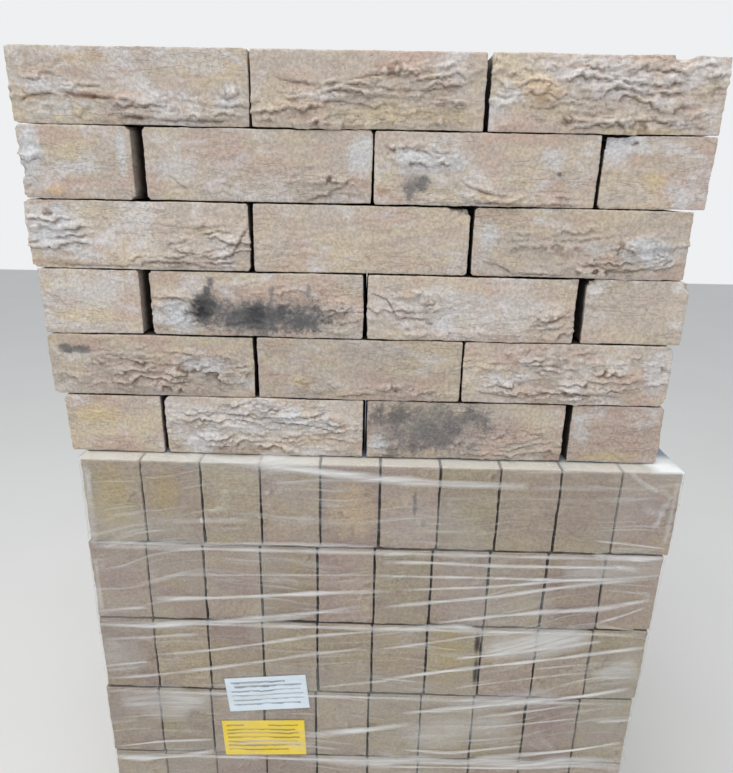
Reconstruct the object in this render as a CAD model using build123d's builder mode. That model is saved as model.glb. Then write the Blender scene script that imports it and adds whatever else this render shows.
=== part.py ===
from build123d import *
import os

os.makedirs("parts", exist_ok=True)

# Brick lying on its bed: length along X, breadth along Y, frog in its upper face
brick_length = 215.0
brick_breadth = 103.6
# The bricks picked for the panel are a little thicker than those of the pack
pack_brick_thickness = 65.2
panel_brick_thickness = 67.0

# Frog, the tapered hollow pressed into one bed face
frog_end_margin = 29.0
frog_side_margin = 21.0
frog_depth = 11.0
frog_taper = 38.0
frog_corner_radius = 12.0

# Pack: bricks on edge with their ends to the front and the back, in columns and layers
columns = 10
rows = 5
layers = 8
column_gap = 0.3
row_gap = 2.0
layer_gap = 0.3
# Sideways lean of each layer, from the ground up
layer_shifts = [0.0, 0.8, -1.4, -2.1, -2.7, -0.1, 0.7, 4.2]

# Fork voids: two gaps through one layer, from the front to the back
layers_below_voids = 2
outer_columns = 1
void_columns = 2

# Polythene sheet on the pack, and the stretch film round it with its hem turned over the top
sheet_thickness = 0.4
sheet_inset = 0.6
film_thickness = 0.4
film_clearance = 0.5
film_foot = 15.0
hem_width = 40.0
film_slit_inset = 6.0

# Labels on the front of the pack, under the film: how far their middles are from the pack's
# left side and top, and their width, height and tilt
label_thickness = 0.25
white_label_from_left = 199.1
white_label_from_top = 314.8
white_label_width = 100.5
white_label_height = 51.5
white_label_tilt = 5.5
yellow_label_from_left = 193.2
yellow_label_from_top = 387.0
yellow_label_width = 104.5
yellow_label_height = 56.5
yellow_label_tilt = 2.5

# Panel of loose bricks on the pack: its face stands this far behind the pack's front
panel_setback = 19.6
course_gap = 0.3
# Courses from the bottom up: how far the left end stands out past the pack's side, then each
# brick with the joint on its left. Headers lie end on to the front, stretchers side on.
panel_courses = [
    (10.6, {"left_header": 0, "left_stretcher": 4.9, "right_stretcher": 3.0, "right_header": 1.4}),
    (17.0, {"left_stretcher": 0, "middle_stretcher": 1.0, "right_stretcher": 2.8}),
    (22.0, {"left_header": 0, "left_stretcher": 12.8, "right_stretcher": 4.5, "right_header": 5.0}),
    (20.6, {"left_stretcher": 0, "middle_stretcher": 5.0, "right_stretcher": 1.0}),
    (19.6, {"left_header": 0, "left_stretcher": 16.4, "right_stretcher": 3.0, "right_header": 2.0}),
    (17.6, {"left_stretcher": 0, "middle_stretcher": 7.5, "right_stretcher": 3.0}),
]

# Places that follow from the sizes above
column_pitch = pack_brick_thickness + column_gap
row_pitch = brick_length + row_gap
layer_pitch = brick_breadth + layer_gap
pack_width = columns * column_pitch - column_gap
pack_depth = rows * row_pitch - row_gap
pack_top = layers * layer_pitch - layer_gap
pack_front = -pack_depth / 2
pack_left = -pack_width / 2
void_starts = [outer_columns, columns - outer_columns - void_columns]
sheet_top = pack_top + sheet_thickness
film_top = sheet_top + film_thickness
inner_left = min(layer_shifts) + pack_left - film_clearance
inner_right = max(layer_shifts) + pack_width / 2 + film_clearance
inner_middle = (inner_left + inner_right) / 2
inner_width = inner_right - inner_left
inner_depth = pack_depth + 2 * film_clearance


# One brick on its bed, with straight or rounded corners in its frog
def make_brick(thickness, corner_radius):
    frog_length = brick_length - 2 * frog_end_margin
    frog_breadth = brick_breadth - 2 * frog_side_margin
    with BuildPart() as brick:
        with BuildSketch():
            Rectangle(brick_length, brick_breadth)
        extrude(amount=thickness)
        with BuildSketch(Plane.XY.offset(thickness)) as mouth:
            Rectangle(frog_length, frog_breadth)
            if corner_radius > 0:
                fillet(mouth.vertices(), corner_radius)
        extrude(amount=-frog_depth, taper=frog_taper, mode=Mode.SUBTRACT)
    return brick.part


# Left side of a column of the pack, where layers and columns count from nought
def column_side(column, layer):
    return layer_shifts[layer] + pack_left + column * column_pitch


# The bricks of some columns of one layer, on edge with their frogs to the right
def make_layer(name, layer, picked_columns):
    base = layer * layer_pitch
    places = []
    for column in picked_columns:
        for row in range(rows):
            middle = pack_front + brick_length / 2 + row * row_pitch
            origin = (column_side(column, layer), middle, base + brick_breadth / 2)
            places.append(Plane(origin, x_dir=(0, 1, 0), z_dir=(1, 0, 0)))
    with BuildPart() as pack_layer:
        with Locations(*places):
            add(pack_brick)
    pack_layer.part.label = name
    export_step(pack_layer.part, f"parts/{name}.step")


# The layer with the voids, as the columns beside and between them
def make_void_layer(name, layer):
    left_void, right_void = void_starts
    make_layer(f"{name}_left", layer, range(left_void))
    make_layer(f"{name}_middle", layer, range(left_void + void_columns, right_void))
    make_layer(f"{name}_right", layer, range(right_void + void_columns, columns))


# One brick of the panel, frog up, end on or side on
def make_panel_brick(name, left, base, end_on):
    width = brick_breadth if end_on else brick_length
    depth = brick_length if end_on else brick_breadth
    turn = 90 if end_on else 0
    middle = (left + width / 2, pack_front + panel_setback + depth / 2, base)
    with BuildPart() as loose_brick:
        with Locations(Location(middle, (0, 0, turn))):
            add(panel_brick)
    loose_brick.part.label = name
    export_step(loose_brick.part, f"parts/{name}.step")


# One course of the panel, brick after brick from its left end
def make_course(name, base, overhang, bricks):
    left = pack_left - overhang
    for place_name, joint in bricks.items():
        end_on = "header" in place_name
        left += joint
        make_panel_brick(f"{name}_{place_name}", left, base, end_on)
        left += brick_breadth if end_on else brick_length


# Flat sheet over the whole top of the pack, inside the film
def make_top_sheet():
    with BuildPart() as top_sheet:
        with BuildSketch(Plane.XY.offset(pack_top)):
            with Locations((inner_middle, 0)):
                Rectangle(inner_width - 2 * sheet_inset, inner_depth - 2 * sheet_inset)
        extrude(amount=sheet_thickness)
    top_sheet.part.label = "top_sheet"
    export_step(top_sheet.part, "parts/top_sheet.step")


# Film sleeve open at the foot, with its hem over the edge of the top and slits at the voids
def make_film():
    outer_width = inner_width + 2 * film_thickness
    outer_depth = inner_depth + 2 * film_thickness
    slit_width = void_columns * column_pitch + column_gap - 2 * film_slit_inset
    slit_height = layer_pitch + layer_gap - 2 * film_slit_inset
    slit_middle_z = layers_below_voids * layer_pitch + brick_breadth / 2
    void_middles = [column_side(start + void_columns / 2, layers_below_voids) for start in void_starts]
    with BuildPart() as stretch_film:
        with BuildSketch(Plane.XY.offset(film_foot)):
            with Locations((inner_middle, 0)):
                Rectangle(outer_width, outer_depth)
        extrude(amount=film_top - film_foot)
        with BuildSketch(Plane.XY.offset(film_foot)):
            with Locations((inner_middle, 0)):
                Rectangle(inner_width, inner_depth)
        extrude(amount=sheet_top - film_foot, mode=Mode.SUBTRACT)
        with BuildSketch(Plane.XY.offset(sheet_top)):
            with Locations((inner_middle, 0)):
                Rectangle(inner_width - 2 * hem_width, inner_depth - 2 * hem_width)
        extrude(amount=film_thickness, mode=Mode.SUBTRACT)
        with BuildSketch(Plane.XZ):
            with Locations(*[(middle, slit_middle_z) for middle in void_middles]):
                Rectangle(slit_width, slit_height)
        extrude(amount=outer_depth, both=True, mode=Mode.SUBTRACT)
    stretch_film.part.label = "stretch_film"
    export_step(stretch_film.part, "parts/stretch_film.step")


# Thin label flat on the front of the bricks
def make_label(name, from_left, from_top, width, height, tilt):
    middle = (pack_left + from_left, pack_front, pack_top - from_top)
    with BuildPart() as label:
        with BuildSketch(Plane(middle, x_dir=(1, 0, 0), z_dir=(0, -1, 0))):
            Rectangle(width, height, rotation=tilt)
        extrude(amount=label_thickness)
    label.part.label = name
    export_step(label.part, f"parts/{name}.step")


pack_brick = make_brick(pack_brick_thickness, 0)
panel_brick = make_brick(panel_brick_thickness, frog_corner_radius)

for layer in range(layers):
    if layer == layers_below_voids:
        make_void_layer(f"layer_{layer + 1}", layer)
    else:
        make_layer(f"layer_{layer + 1}", layer, range(columns))

for course, (overhang, bricks) in enumerate(panel_courses):
    base = film_top + course * (panel_brick_thickness + course_gap)
    make_course(f"panel_{course + 1}", base, overhang, bricks)

make_top_sheet()
make_film()
make_label(
    "white_label",
    white_label_from_left,
    white_label_from_top,
    white_label_width,
    white_label_height,
    white_label_tilt,
)
make_label(
    "yellow_label",
    yellow_label_from_left,
    yellow_label_from_top,
    yellow_label_width,
    yellow_label_height,
    yellow_label_tilt,
)
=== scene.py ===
import itertools
import math

import bpy
import numpy as np
from mathutils import Matrix, Vector


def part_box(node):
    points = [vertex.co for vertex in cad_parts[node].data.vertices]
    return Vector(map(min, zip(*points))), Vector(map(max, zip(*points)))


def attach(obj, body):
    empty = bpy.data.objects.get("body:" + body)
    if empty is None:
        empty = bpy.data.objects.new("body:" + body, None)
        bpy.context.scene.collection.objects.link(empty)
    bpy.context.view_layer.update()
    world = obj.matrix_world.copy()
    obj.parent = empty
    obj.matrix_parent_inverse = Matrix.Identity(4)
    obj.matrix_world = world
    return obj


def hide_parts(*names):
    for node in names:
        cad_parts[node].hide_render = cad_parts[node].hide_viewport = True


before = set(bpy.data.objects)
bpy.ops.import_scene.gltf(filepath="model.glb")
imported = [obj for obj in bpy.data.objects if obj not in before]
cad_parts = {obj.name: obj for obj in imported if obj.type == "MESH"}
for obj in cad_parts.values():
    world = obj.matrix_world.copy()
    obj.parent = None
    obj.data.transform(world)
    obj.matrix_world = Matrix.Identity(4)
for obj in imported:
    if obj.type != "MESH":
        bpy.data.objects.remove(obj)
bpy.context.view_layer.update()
print("frame loaded")


# Camera and light

view = {
    "place": (-0.0063, -1.1556, 1.1313),  # just in front of the pack, above its top
    "yaw": -0.0101,
    "pitch": 0.3293,                      # looks down 18.9 degrees
    "roll": -0.0192,
    "focal": 628.99,                      # in pixels of the picture
    "sensor": 36.0,
}

picture = {"width": 733, "height": 773}


def makeCamera():
    yaw, pitch, roll = view["yaw"], view["pitch"], view["roll"]
    ahead = Vector((math.sin(yaw) * math.cos(pitch), math.cos(yaw) * math.cos(pitch), -math.sin(pitch)))
    level = Vector((math.cos(yaw), -math.sin(yaw), 0))
    down = ahead.cross(level)
    right = level * math.cos(roll) + down * math.sin(roll)
    below = down * math.cos(roll) - level * math.sin(roll)
    data = bpy.data.cameras.new("camera")
    data.sensor_width = view["sensor"]
    data.lens = view["focal"] / picture["height"] * view["sensor"]
    data.clip_start = 0.01
    camera = bpy.data.objects.new("camera", data)
    turn = Matrix((right, -below, -ahead)).transposed().to_4x4()
    camera.matrix_world = Matrix.Translation(view["place"]) @ turn
    bpy.context.scene.collection.objects.link(camera)
    bpy.context.scene.camera = camera


# disk lamps: where they hang, what they point at, size in metres and power in watts
lamps = {
    "overhead": {
        "place": (-0.6, -1.2, 3.2),
        "target": (0, -0.3, 0.6),
        "size": 2.4,
        "power": 50.0,
        "colour": (1.0, 0.98, 0.95),
    },
    "front": {
        "place": (0.9, -3.0, 1.5),
        "target": (0, -0.5, 0.7),
        "size": 2.0,
        "power": 13.0,
        "colour": (0.97, 0.98, 1.0),
    },
}

stage = {
    "sky": 0.52,
    "skyColour": (0.94, 0.97, 1.0),
    "backdrop": (0.86, 0.87, 0.88),
    "floorColour": (0.86, 0.86, 0.85),
    "floorRoughness": 0.9,
    "floorGrain": 30,
    "floorPaler": 1.06,
    "floorHalf": 6.0,
}


def makeLamps():
    for name, chosen in lamps.items():
        data = bpy.data.lights.new(name, "AREA")
        data.shape = "DISK"
        data.size = chosen["size"]
        data.energy = chosen["power"]
        data.color = chosen["colour"]
        lamp = bpy.data.objects.new(name, data)
        lamp.location = chosen["place"]
        ahead = Vector(chosen["target"]) - Vector(chosen["place"])
        lamp.rotation_euler = ahead.to_track_quat("-Z", "Y").to_euler()
        bpy.context.scene.collection.objects.link(lamp)


def makeSky():
    world = bpy.data.worlds.new("sky")
    bpy.context.scene.world = world
    world.use_nodes = True
    nodes, links = world.node_tree.nodes, world.node_tree.links
    nodes.clear()
    out = nodes.new("ShaderNodeOutputWorld")
    lit = nodes.new("ShaderNodeBackground")
    lit.inputs["Color"].default_value = (*stage["skyColour"], 1)
    lit.inputs["Strength"].default_value = stage["sky"]
    seen = nodes.new("ShaderNodeBackground")
    seen.inputs["Color"].default_value = (*stage["backdrop"], 1)
    rays = nodes.new("ShaderNodeLightPath")
    mix = nodes.new("ShaderNodeMixShader")
    seenBy = rays.outputs["Is Camera Ray"]
    for key in ("Is Glossy Ray", "Is Transmission Ray"):
        either = nodes.new("ShaderNodeMath")
        either.operation = "MAXIMUM"
        links.new(seenBy, either.inputs[0])
        links.new(rays.outputs[key], either.inputs[1])
        seenBy = either.outputs[0]
    links.new(seenBy, mix.inputs["Fac"])
    links.new(lit.outputs[0], mix.inputs[1])
    links.new(seen.outputs[0], mix.inputs[2])
    links.new(mix.outputs[0], out.inputs["Surface"])


def makeFloor():
    half = stage["floorHalf"]
    corners = [(-half, -half, 0), (half, -half, 0), (half, half, 0), (-half, half, 0)]
    mesh = bpy.data.meshes.new("floor")
    mesh.from_pydata(corners, [], [(0, 1, 2, 3)])
    floor = bpy.data.objects.new("floor", mesh)
    bpy.context.scene.collection.objects.link(floor)
    look = bpy.data.materials.new("paleFloor")
    look.use_nodes = True
    nodes, links = look.node_tree.nodes, look.node_tree.links
    shader = nodes["Principled BSDF"]
    shader.inputs["Roughness"].default_value = stage["floorRoughness"]
    grain = nodes.new("ShaderNodeTexNoise")
    grain.inputs["Scale"].default_value = stage["floorGrain"]
    tone = nodes.new("ShaderNodeMixRGB")
    tone.inputs["Color1"].default_value = (*stage["floorColour"], 1)
    tone.inputs["Color2"].default_value = (*[c * stage["floorPaler"] for c in stage["floorColour"]], 1)
    links.new(grain.outputs["Fac"], tone.inputs["Fac"])
    links.new(tone.outputs["Color"], shader.inputs["Base Color"])
    mesh.materials.append(look)


bpy.context.scene.view_settings.view_transform = "Standard"
makeCamera()
makeSky()
makeFloor()
makeLamps()
print("camera and stage ready")


# Noise and curves for shapes

lattice = np.random.default_rng(11)
shuffle = lattice.permutation(256)
slopes = lattice.normal(size=(256, 3))
slopes /= np.linalg.norm(slopes, axis=1)[:, None]


# smooth noise from about -1 to 1 at each row of points
def noise(points, size=1.0):
    points = points / np.asarray(size)
    cell = np.floor(points).astype(int)
    part = points - cell
    ease = part ** 3 * (part * (part * 6 - 15) + 10)
    total = np.zeros(len(points))
    for corner in itertools.product((0, 1), repeat=3):
        at = (cell + corner) & 255
        pick = shuffle[(shuffle[(shuffle[at[:, 0]] + at[:, 1]) & 255] + at[:, 2]) & 255]
        weight = np.prod(np.where(corner, ease, 1 - ease), axis=1)
        total += weight * np.sum(slopes[pick] * (part - corner), axis=1)
    return total * 1.6


# noise of several sizes, each with its share
def mixedNoise(spot, parts):
    return sum(share * noise(spot, size) for share, size in parts)


def smooth(low, high, value):
    t = np.clip((value - low) / (high - low), 0, 1)
    return t * t * (3 - 2 * t)


# from a share at nought up to the whole over a span
def fadeIn(value, share, span):
    return share + (1 - share) * smooth(0, span, value)


# grid lines along one edge of a brick, in mm, closer at its rounded ends
def gridLines(length, step, rim=3.0):
    ends = [0.0, 0.3 * rim, 0.65 * rim]
    inner = np.linspace(rim, length - rim, max(2, round((length - 2 * rim) / step) + 1))
    return np.array(ends + list(inner) + [length - e for e in reversed(ends)])


# the surface of a box of grid lines, as points and faces; a plain side is one face
def gridBox(lines, plain=()):
    ids = np.arange(np.prod([len(line) for line in lines])).reshape([len(line) for line in lines])
    sides = {
        "left": (0, 0), "right": (0, -1),
        "front": (1, 0), "back": (1, -1),
        "bottom": (2, 0), "top": (2, -1),
    }
    quads, caps = [], []
    for side, (axis, end) in sides.items():
        sheet = np.take(ids, end, axis)
        if (end == 0) != (axis == 1):
            sheet = sheet.T
        if side in plain:
            caps.append(np.concatenate([sheet[:-1, 0], sheet[-1, :-1], sheet[:0:-1, -1], sheet[0, :0:-1]]))
        else:
            corners = [sheet[:-1, :-1], sheet[1:, :-1], sheet[1:, 1:], sheet[:-1, 1:]]
            quads.append(np.stack(corners, -1).reshape(-1, 4))
    quads = np.concatenate(quads)
    used, back = np.unique(np.concatenate([quads.ravel(), *caps]), return_inverse=True)
    faces = back[: quads.size].reshape(-1, 4).tolist()
    start = quads.size
    for cap in caps:
        faces.append(back[start: start + len(cap)].tolist())
        start += len(cap)
    spots = np.stack(np.unravel_index(used, ids.shape), -1)
    points = np.stack([lines[i][spots[:, i]] for i in range(3)], -1)
    return points, faces


# a mesh from points in mm, with its masks, and a shift that gives each brick its own grain
def addMesh(name, points, faces, masks, shift=0.0):
    mesh = bpy.data.meshes.new(name)
    mesh.from_pydata((points * 0.001).tolist(), [], faces)
    mesh.polygons.foreach_set("use_smooth", [True] * len(mesh.polygons))
    for key, values in masks.items():
        made = mesh.attributes.new(key, "FLOAT", "POINT")
        made.data.foreach_set("value", np.asarray(values, np.float32))
    moved = np.broadcast_to(shift, points.shape) * 0.001
    made = mesh.attributes.new("shift", "FLOAT_VECTOR", "POINT")
    made.data.foreach_set("vector", np.asarray(moved, np.float32).ravel())
    mesh.update()
    piece = bpy.data.objects.new(name, mesh)
    bpy.context.scene.collection.objects.link(piece)
    return piece


# Shader helpers

def paint(red, green, blue):
    return tuple(((c / 255 + 0.055) / 1.055) ** 2.4 for c in (red, green, blue))


def addNode(tree, kind, values=None, **settings):
    made = tree.nodes.new(kind)
    for key, value in settings.items():
        setattr(made, key, value)
    for key, value in (values or {}).items():
        if isinstance(value, bpy.types.NodeSocket):
            tree.links.new(value, made.inputs[key])
        else:
            made.inputs[key].default_value = value
    return made


def mathNode(tree, operation, first, second=0.0, clamp=False):
    values = {0: first, 1: second}
    return addNode(tree, "ShaderNodeMath", values, operation=operation, use_clamp=clamp).outputs[0]


# a value times a factor, plus an offset
def linearNode(tree, value, factor, offset):
    return mathNode(tree, "ADD", mathNode(tree, "MULTIPLY", value, factor), offset)


def vectorNode(tree, operation, first, second):
    return addNode(tree, "ShaderNodeVectorMath", {0: first, 1: second}, operation=operation).outputs[0]


def noiseNode(tree, place, scale, detail, roughness=0.5, distortion=0.0):
    values = {"Vector": place, "Scale": scale, "Detail": detail}
    values.update({"Roughness": roughness, "Distortion": distortion})
    return addNode(tree, "ShaderNodeTexNoise", values).outputs["Fac"]


def attributeNode(tree, name):
    return addNode(tree, "ShaderNodeAttribute", attribute_name=name).outputs["Fac"]


def bumpNode(tree, height, strength, distance):
    values = {"Height": height, "Strength": strength, "Distance": distance}
    return addNode(tree, "ShaderNodeBump", values).outputs["Normal"]


def objectPlace(tree):
    return addNode(tree, "ShaderNodeTexCoord").outputs["Object"]


def newMaterial(name):
    look = bpy.data.materials.new(name)
    look.use_nodes = True
    return look, look.node_tree, look.node_tree.nodes["Principled BSDF"]


def feedShader(tree, shader, sources):
    for key, source in sources.items():
        tree.links.new(source, shader.inputs[key])


def mixColour(tree, amount, first, second, blend="MIX"):
    made = addNode(tree, "ShaderNodeMix", data_type="RGBA", blend_type=blend)
    for key, value in {"Factor_Float": amount, "A_Color": first, "B_Color": second}.items():
        socket = next(s for s in made.inputs if s.identifier == key)
        if isinstance(value, bpy.types.NodeSocket):
            tree.links.new(value, socket)
        elif key == "Factor_Float":
            socket.default_value = value
        else:
            socket.default_value = (*value, 1)
    return next(s for s in made.outputs if s.identifier == "Result_Color")


def rampBetween(tree, value, low, high):
    made = addNode(tree, "ShaderNodeMapRange", {"Value": value, "From Min": low, "From Max": high})
    made.interpolation_type = "SMOOTHSTEP"
    return made.outputs["Result"]


def newGroup(name, inputs, outputs):
    tree = bpy.data.node_groups.new(name, "ShaderNodeTree")
    for key, (kind, value) in inputs.items():
        socket = tree.interface.new_socket(key, in_out="INPUT", socket_type=kind)
        if value is not None:
            socket.default_value = value
    for key, kind in outputs.items():
        tree.interface.new_socket(key, in_out="OUTPUT", socket_type=kind)
    start = tree.nodes.new("NodeGroupInput")
    end = tree.nodes.new("NodeGroupOutput")
    return tree, start.outputs, end.inputs


def useGroup(tree, group, values):
    made = tree.nodes.new("ShaderNodeGroup")
    made.node_tree = group
    for key, value in values.items():
        if isinstance(value, bpy.types.NodeSocket):
            tree.links.new(value, made.inputs[key])
        else:
            made.inputs[key].default_value = value
    return made.outputs


number, vector, colour = "NodeSocketFloat", "NodeSocketVector", "NodeSocketColor"


# noises are given as scale in cells a metre, detail, roughness and distortion; edges as where a
# mask begins and where it is full
clayGrain = {
    "cloudStretch": (1, 1, 1.7),
    "clouds": (("Second", 11.0, 0.4), ("Third", 15.0, 0.3), ("Bloom", 19.0, 0.4)),  # scale, distortion
    "cloudApart": (3.1, 1.7, 5.3),
    "cloudDetail": (7.0, 0.68),      # and roughness
    "cloudLevel": 0.78,
    "cloudEdge": (-0.09, 0.11),
    "mottle": (330.0, 4.0, 0.7),
    "mottleEdge": (0.36, 0.64),
    "wrinkleStretch": (1, 1, 3.6),
    "wrinkle": (36.0, 3.0, 0.55, 0.25),
    "wrinkleWhere": (9.0, 2.0),
    "wrinkleEdge": (0.44, 0.6),
    "wrinkleWidth": 0.035,
    "wrinkleDark": 0.1,
    "rag": (70.0, 8.0, 0.78),        # edges of stains
    "ragReach": 4.5,
    "speckle": (260.0, 4.0, 0.8),    # and how they break up
    "stainEdge": (0.25, 1.15),
    "speckleEdge": (0.4, 0.8),
    "sand": (170.0, 5.0, 0.65),
    "fineSand": (900.0, 3.0, 0.7),
    "pits": 210.0,
    "pitEdge": (0.05, 0.3),
    "pitWhere": (0.52, 0.62),
    # where the painted shade in joints begins and is full, and how dark it gets
    "jointShadeEdge": (1.2, 7.0),
    "jointShadeDark": 0.92,
    "relief": 0.0011,                # height of the sand in metres
}


# fired clay: three clays in soft clouds, pale bloom and fine mottling
def clayToneGroup():
    inputs = {
        "Vector": (vector, None),
        "Base": (colour, (0.5, 0.4, 0.3, 1)),
        "Second": (colour, (0.5, 0.4, 0.3, 1)),
        "Third": (colour, (0.5, 0.4, 0.3, 1)),
        "Bloom": (colour, (0.7, 0.7, 0.7, 1)),
        "Second Share": (number, 0.5),
        "Third Share": (number, 0.3),
        "Bloom Share": (number, 0.2),
        "Mottle": (number, 0.2),
    }
    tree, given, out = newGroup("clayTone", inputs, {"Color": colour, "Grain": colour, "Wrinkle": number})
    stretch = vectorNode(tree, "MULTIPLY", given["Vector"], clayGrain["cloudStretch"])
    result = given["Base"]
    for i, (key, scale, twist) in enumerate(clayGrain["clouds"]):
        moved = vectorNode(tree, "ADD", stretch, [i * c for c in clayGrain["cloudApart"]])
        cloud = noiseNode(tree, moved, scale, *clayGrain["cloudDetail"], twist)
        lower = mathNode(tree, "MULTIPLY", given[key + " Share"], 0.5)
        level = mathNode(tree, "SUBTRACT", clayGrain["cloudLevel"], lower)
        mask = rampBetween(tree, mathNode(tree, "SUBTRACT", cloud, level), *clayGrain["cloudEdge"])
        result = mixColour(tree, mask, result, given[key])
    fine = noiseNode(tree, given["Vector"], *clayGrain["mottle"])
    centred = mathNode(tree, "SUBTRACT", rampBetween(tree, fine, *clayGrain["mottleEdge"]), 0.5)
    factor = linearNode(tree, centred, given["Mottle"], 1.0)
    flat = vectorNode(tree, "MULTIPLY", given["Vector"], clayGrain["wrinkleStretch"])
    drawn = noiseNode(tree, flat, *clayGrain["wrinkle"])
    line = mathNode(tree, "ABSOLUTE", mathNode(tree, "SUBTRACT", drawn, 0.5))
    shown = rampBetween(tree, noiseNode(tree, flat, *clayGrain["wrinkleWhere"]), *clayGrain["wrinkleEdge"])
    thin = mathNode(tree, "SUBTRACT", 1.0, rampBetween(tree, line, 0.0, clayGrain["wrinkleWidth"]))
    wrinkle = mathNode(tree, "MULTIPLY", thin, shown)
    dark = mathNode(tree, "MULTIPLY", wrinkle, clayGrain["wrinkleDark"])
    factor = mathNode(tree, "SUBTRACT", factor, dark)
    grey = addNode(tree, "ShaderNodeCombineColor", {0: factor, 1: factor, 2: factor})
    tree.links.new(result, out["Color"])
    tree.links.new(grey.outputs[0], out["Grain"])
    tree.links.new(wrinkle, out["Wrinkle"])
    return tree


# the noise that all stains of one brick share: how their edges wander and how they break up
def clayRagGroup():
    tree, given, out = newGroup("clayRag", {"Vector": (vector, None)}, {"Rag": number, "Grain": number})
    tree.links.new(noiseNode(tree, given["Vector"], *clayGrain["rag"]), out["Rag"])
    tree.links.new(noiseNode(tree, given["Vector"], *clayGrain["speckle"]), out["Grain"])
    return tree


# one stain with a ragged edge, given in the object's own metres
def clayStainGroup():
    inputs = {
        "Vector": (vector, None),
        "Rag": (number, 0.5),
        "Grain": (number, 0.5),
        "Middle": (vector, (0, 0, 0)),
        "Size": (vector, (0.01, 0.01, 0.01)),
        "Strength": (number, 1.0),
        "Ragged": (number, 0.5),
    }
    tree, given, out = newGroup("clayStain", inputs, {"Mask": number})
    offset = vectorNode(tree, "SUBTRACT", given["Vector"], given["Middle"])
    scaled = vectorNode(tree, "DIVIDE", offset, given["Size"])
    far = addNode(tree, "ShaderNodeVectorMath", {0: scaled}, operation="LENGTH").outputs["Value"]
    shift = mathNode(tree, "MULTIPLY", mathNode(tree, "SUBTRACT", given["Rag"], 0.5), given["Ragged"])
    edge = mathNode(tree, "ADD", far, mathNode(tree, "MULTIPLY", shift, clayGrain["ragReach"]))
    mask = mathNode(tree, "SUBTRACT", 1.0, rampBetween(tree, edge, *clayGrain["stainEdge"]))
    solid = mathNode(tree, "ADD", given["Grain"], mathNode(tree, "MULTIPLY", mask, 0.6))
    broken = mathNode(tree, "MULTIPLY", mask, rampBetween(tree, solid, *clayGrain["speckleEdge"]))
    tree.links.new(mathNode(tree, "MULTIPLY", broken, given["Strength"]), out["Mask"])
    return tree


# sand pressed into the clay: height for a bump, and pits
def sandGrainGroup():
    inputs = {"Vector": (vector, None), "Pits": (number, 0.5)}
    tree, given, out = newGroup("sandGrain", inputs, {"Height": number})
    coarse = noiseNode(tree, given["Vector"], *clayGrain["sand"])
    fine = noiseNode(tree, given["Vector"], *clayGrain["fineSand"])
    cells = addNode(tree, "ShaderNodeTexVoronoi", {"Vector": given["Vector"], "Scale": clayGrain["pits"]})
    distance = cells.outputs["Distance"]
    pit = mathNode(tree, "SUBTRACT", 1.0, rampBetween(tree, distance, *clayGrain["pitEdge"]))
    where = rampBetween(tree, coarse, *clayGrain["pitWhere"])
    dug = mathNode(tree, "MULTIPLY", mathNode(tree, "MULTIPLY", pit, given["Pits"]), where)
    mixed = mathNode(tree, "ADD", coarse, mathNode(tree, "MULTIPLY", fine, 0.6))
    tree.links.new(mathNode(tree, "SUBTRACT", mixed, dug), out["Height"])
    return tree


clayTone = clayToneGroup()
clayRag = clayRagGroup()
clayStain = clayStainGroup()
sandGrain = sandGrainGroup()

stainAndShadowColours = {
    "soot": paint(66, 66, 68),
    "burn": paint(96, 95, 96),
    "smoke": paint(128, 124, 122),
    "pale": paint(213, 208, 204),
    "frost": paint(208, 210, 214),
    "tan": paint(204, 177, 146),
    "gold": paint(208, 187, 145),
    "rust": paint(166, 132, 108),
    "mauve": paint(186, 158, 150),
    "olive": paint(168, 150, 114),
    "plum": paint(154, 136, 128),
    # shadow is painted shadow, not a stain
    "shadow": paint(58, 50, 45),
}
darkStainsAndShadow = ("soot", "burn", "smoke", "shadow")
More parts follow.
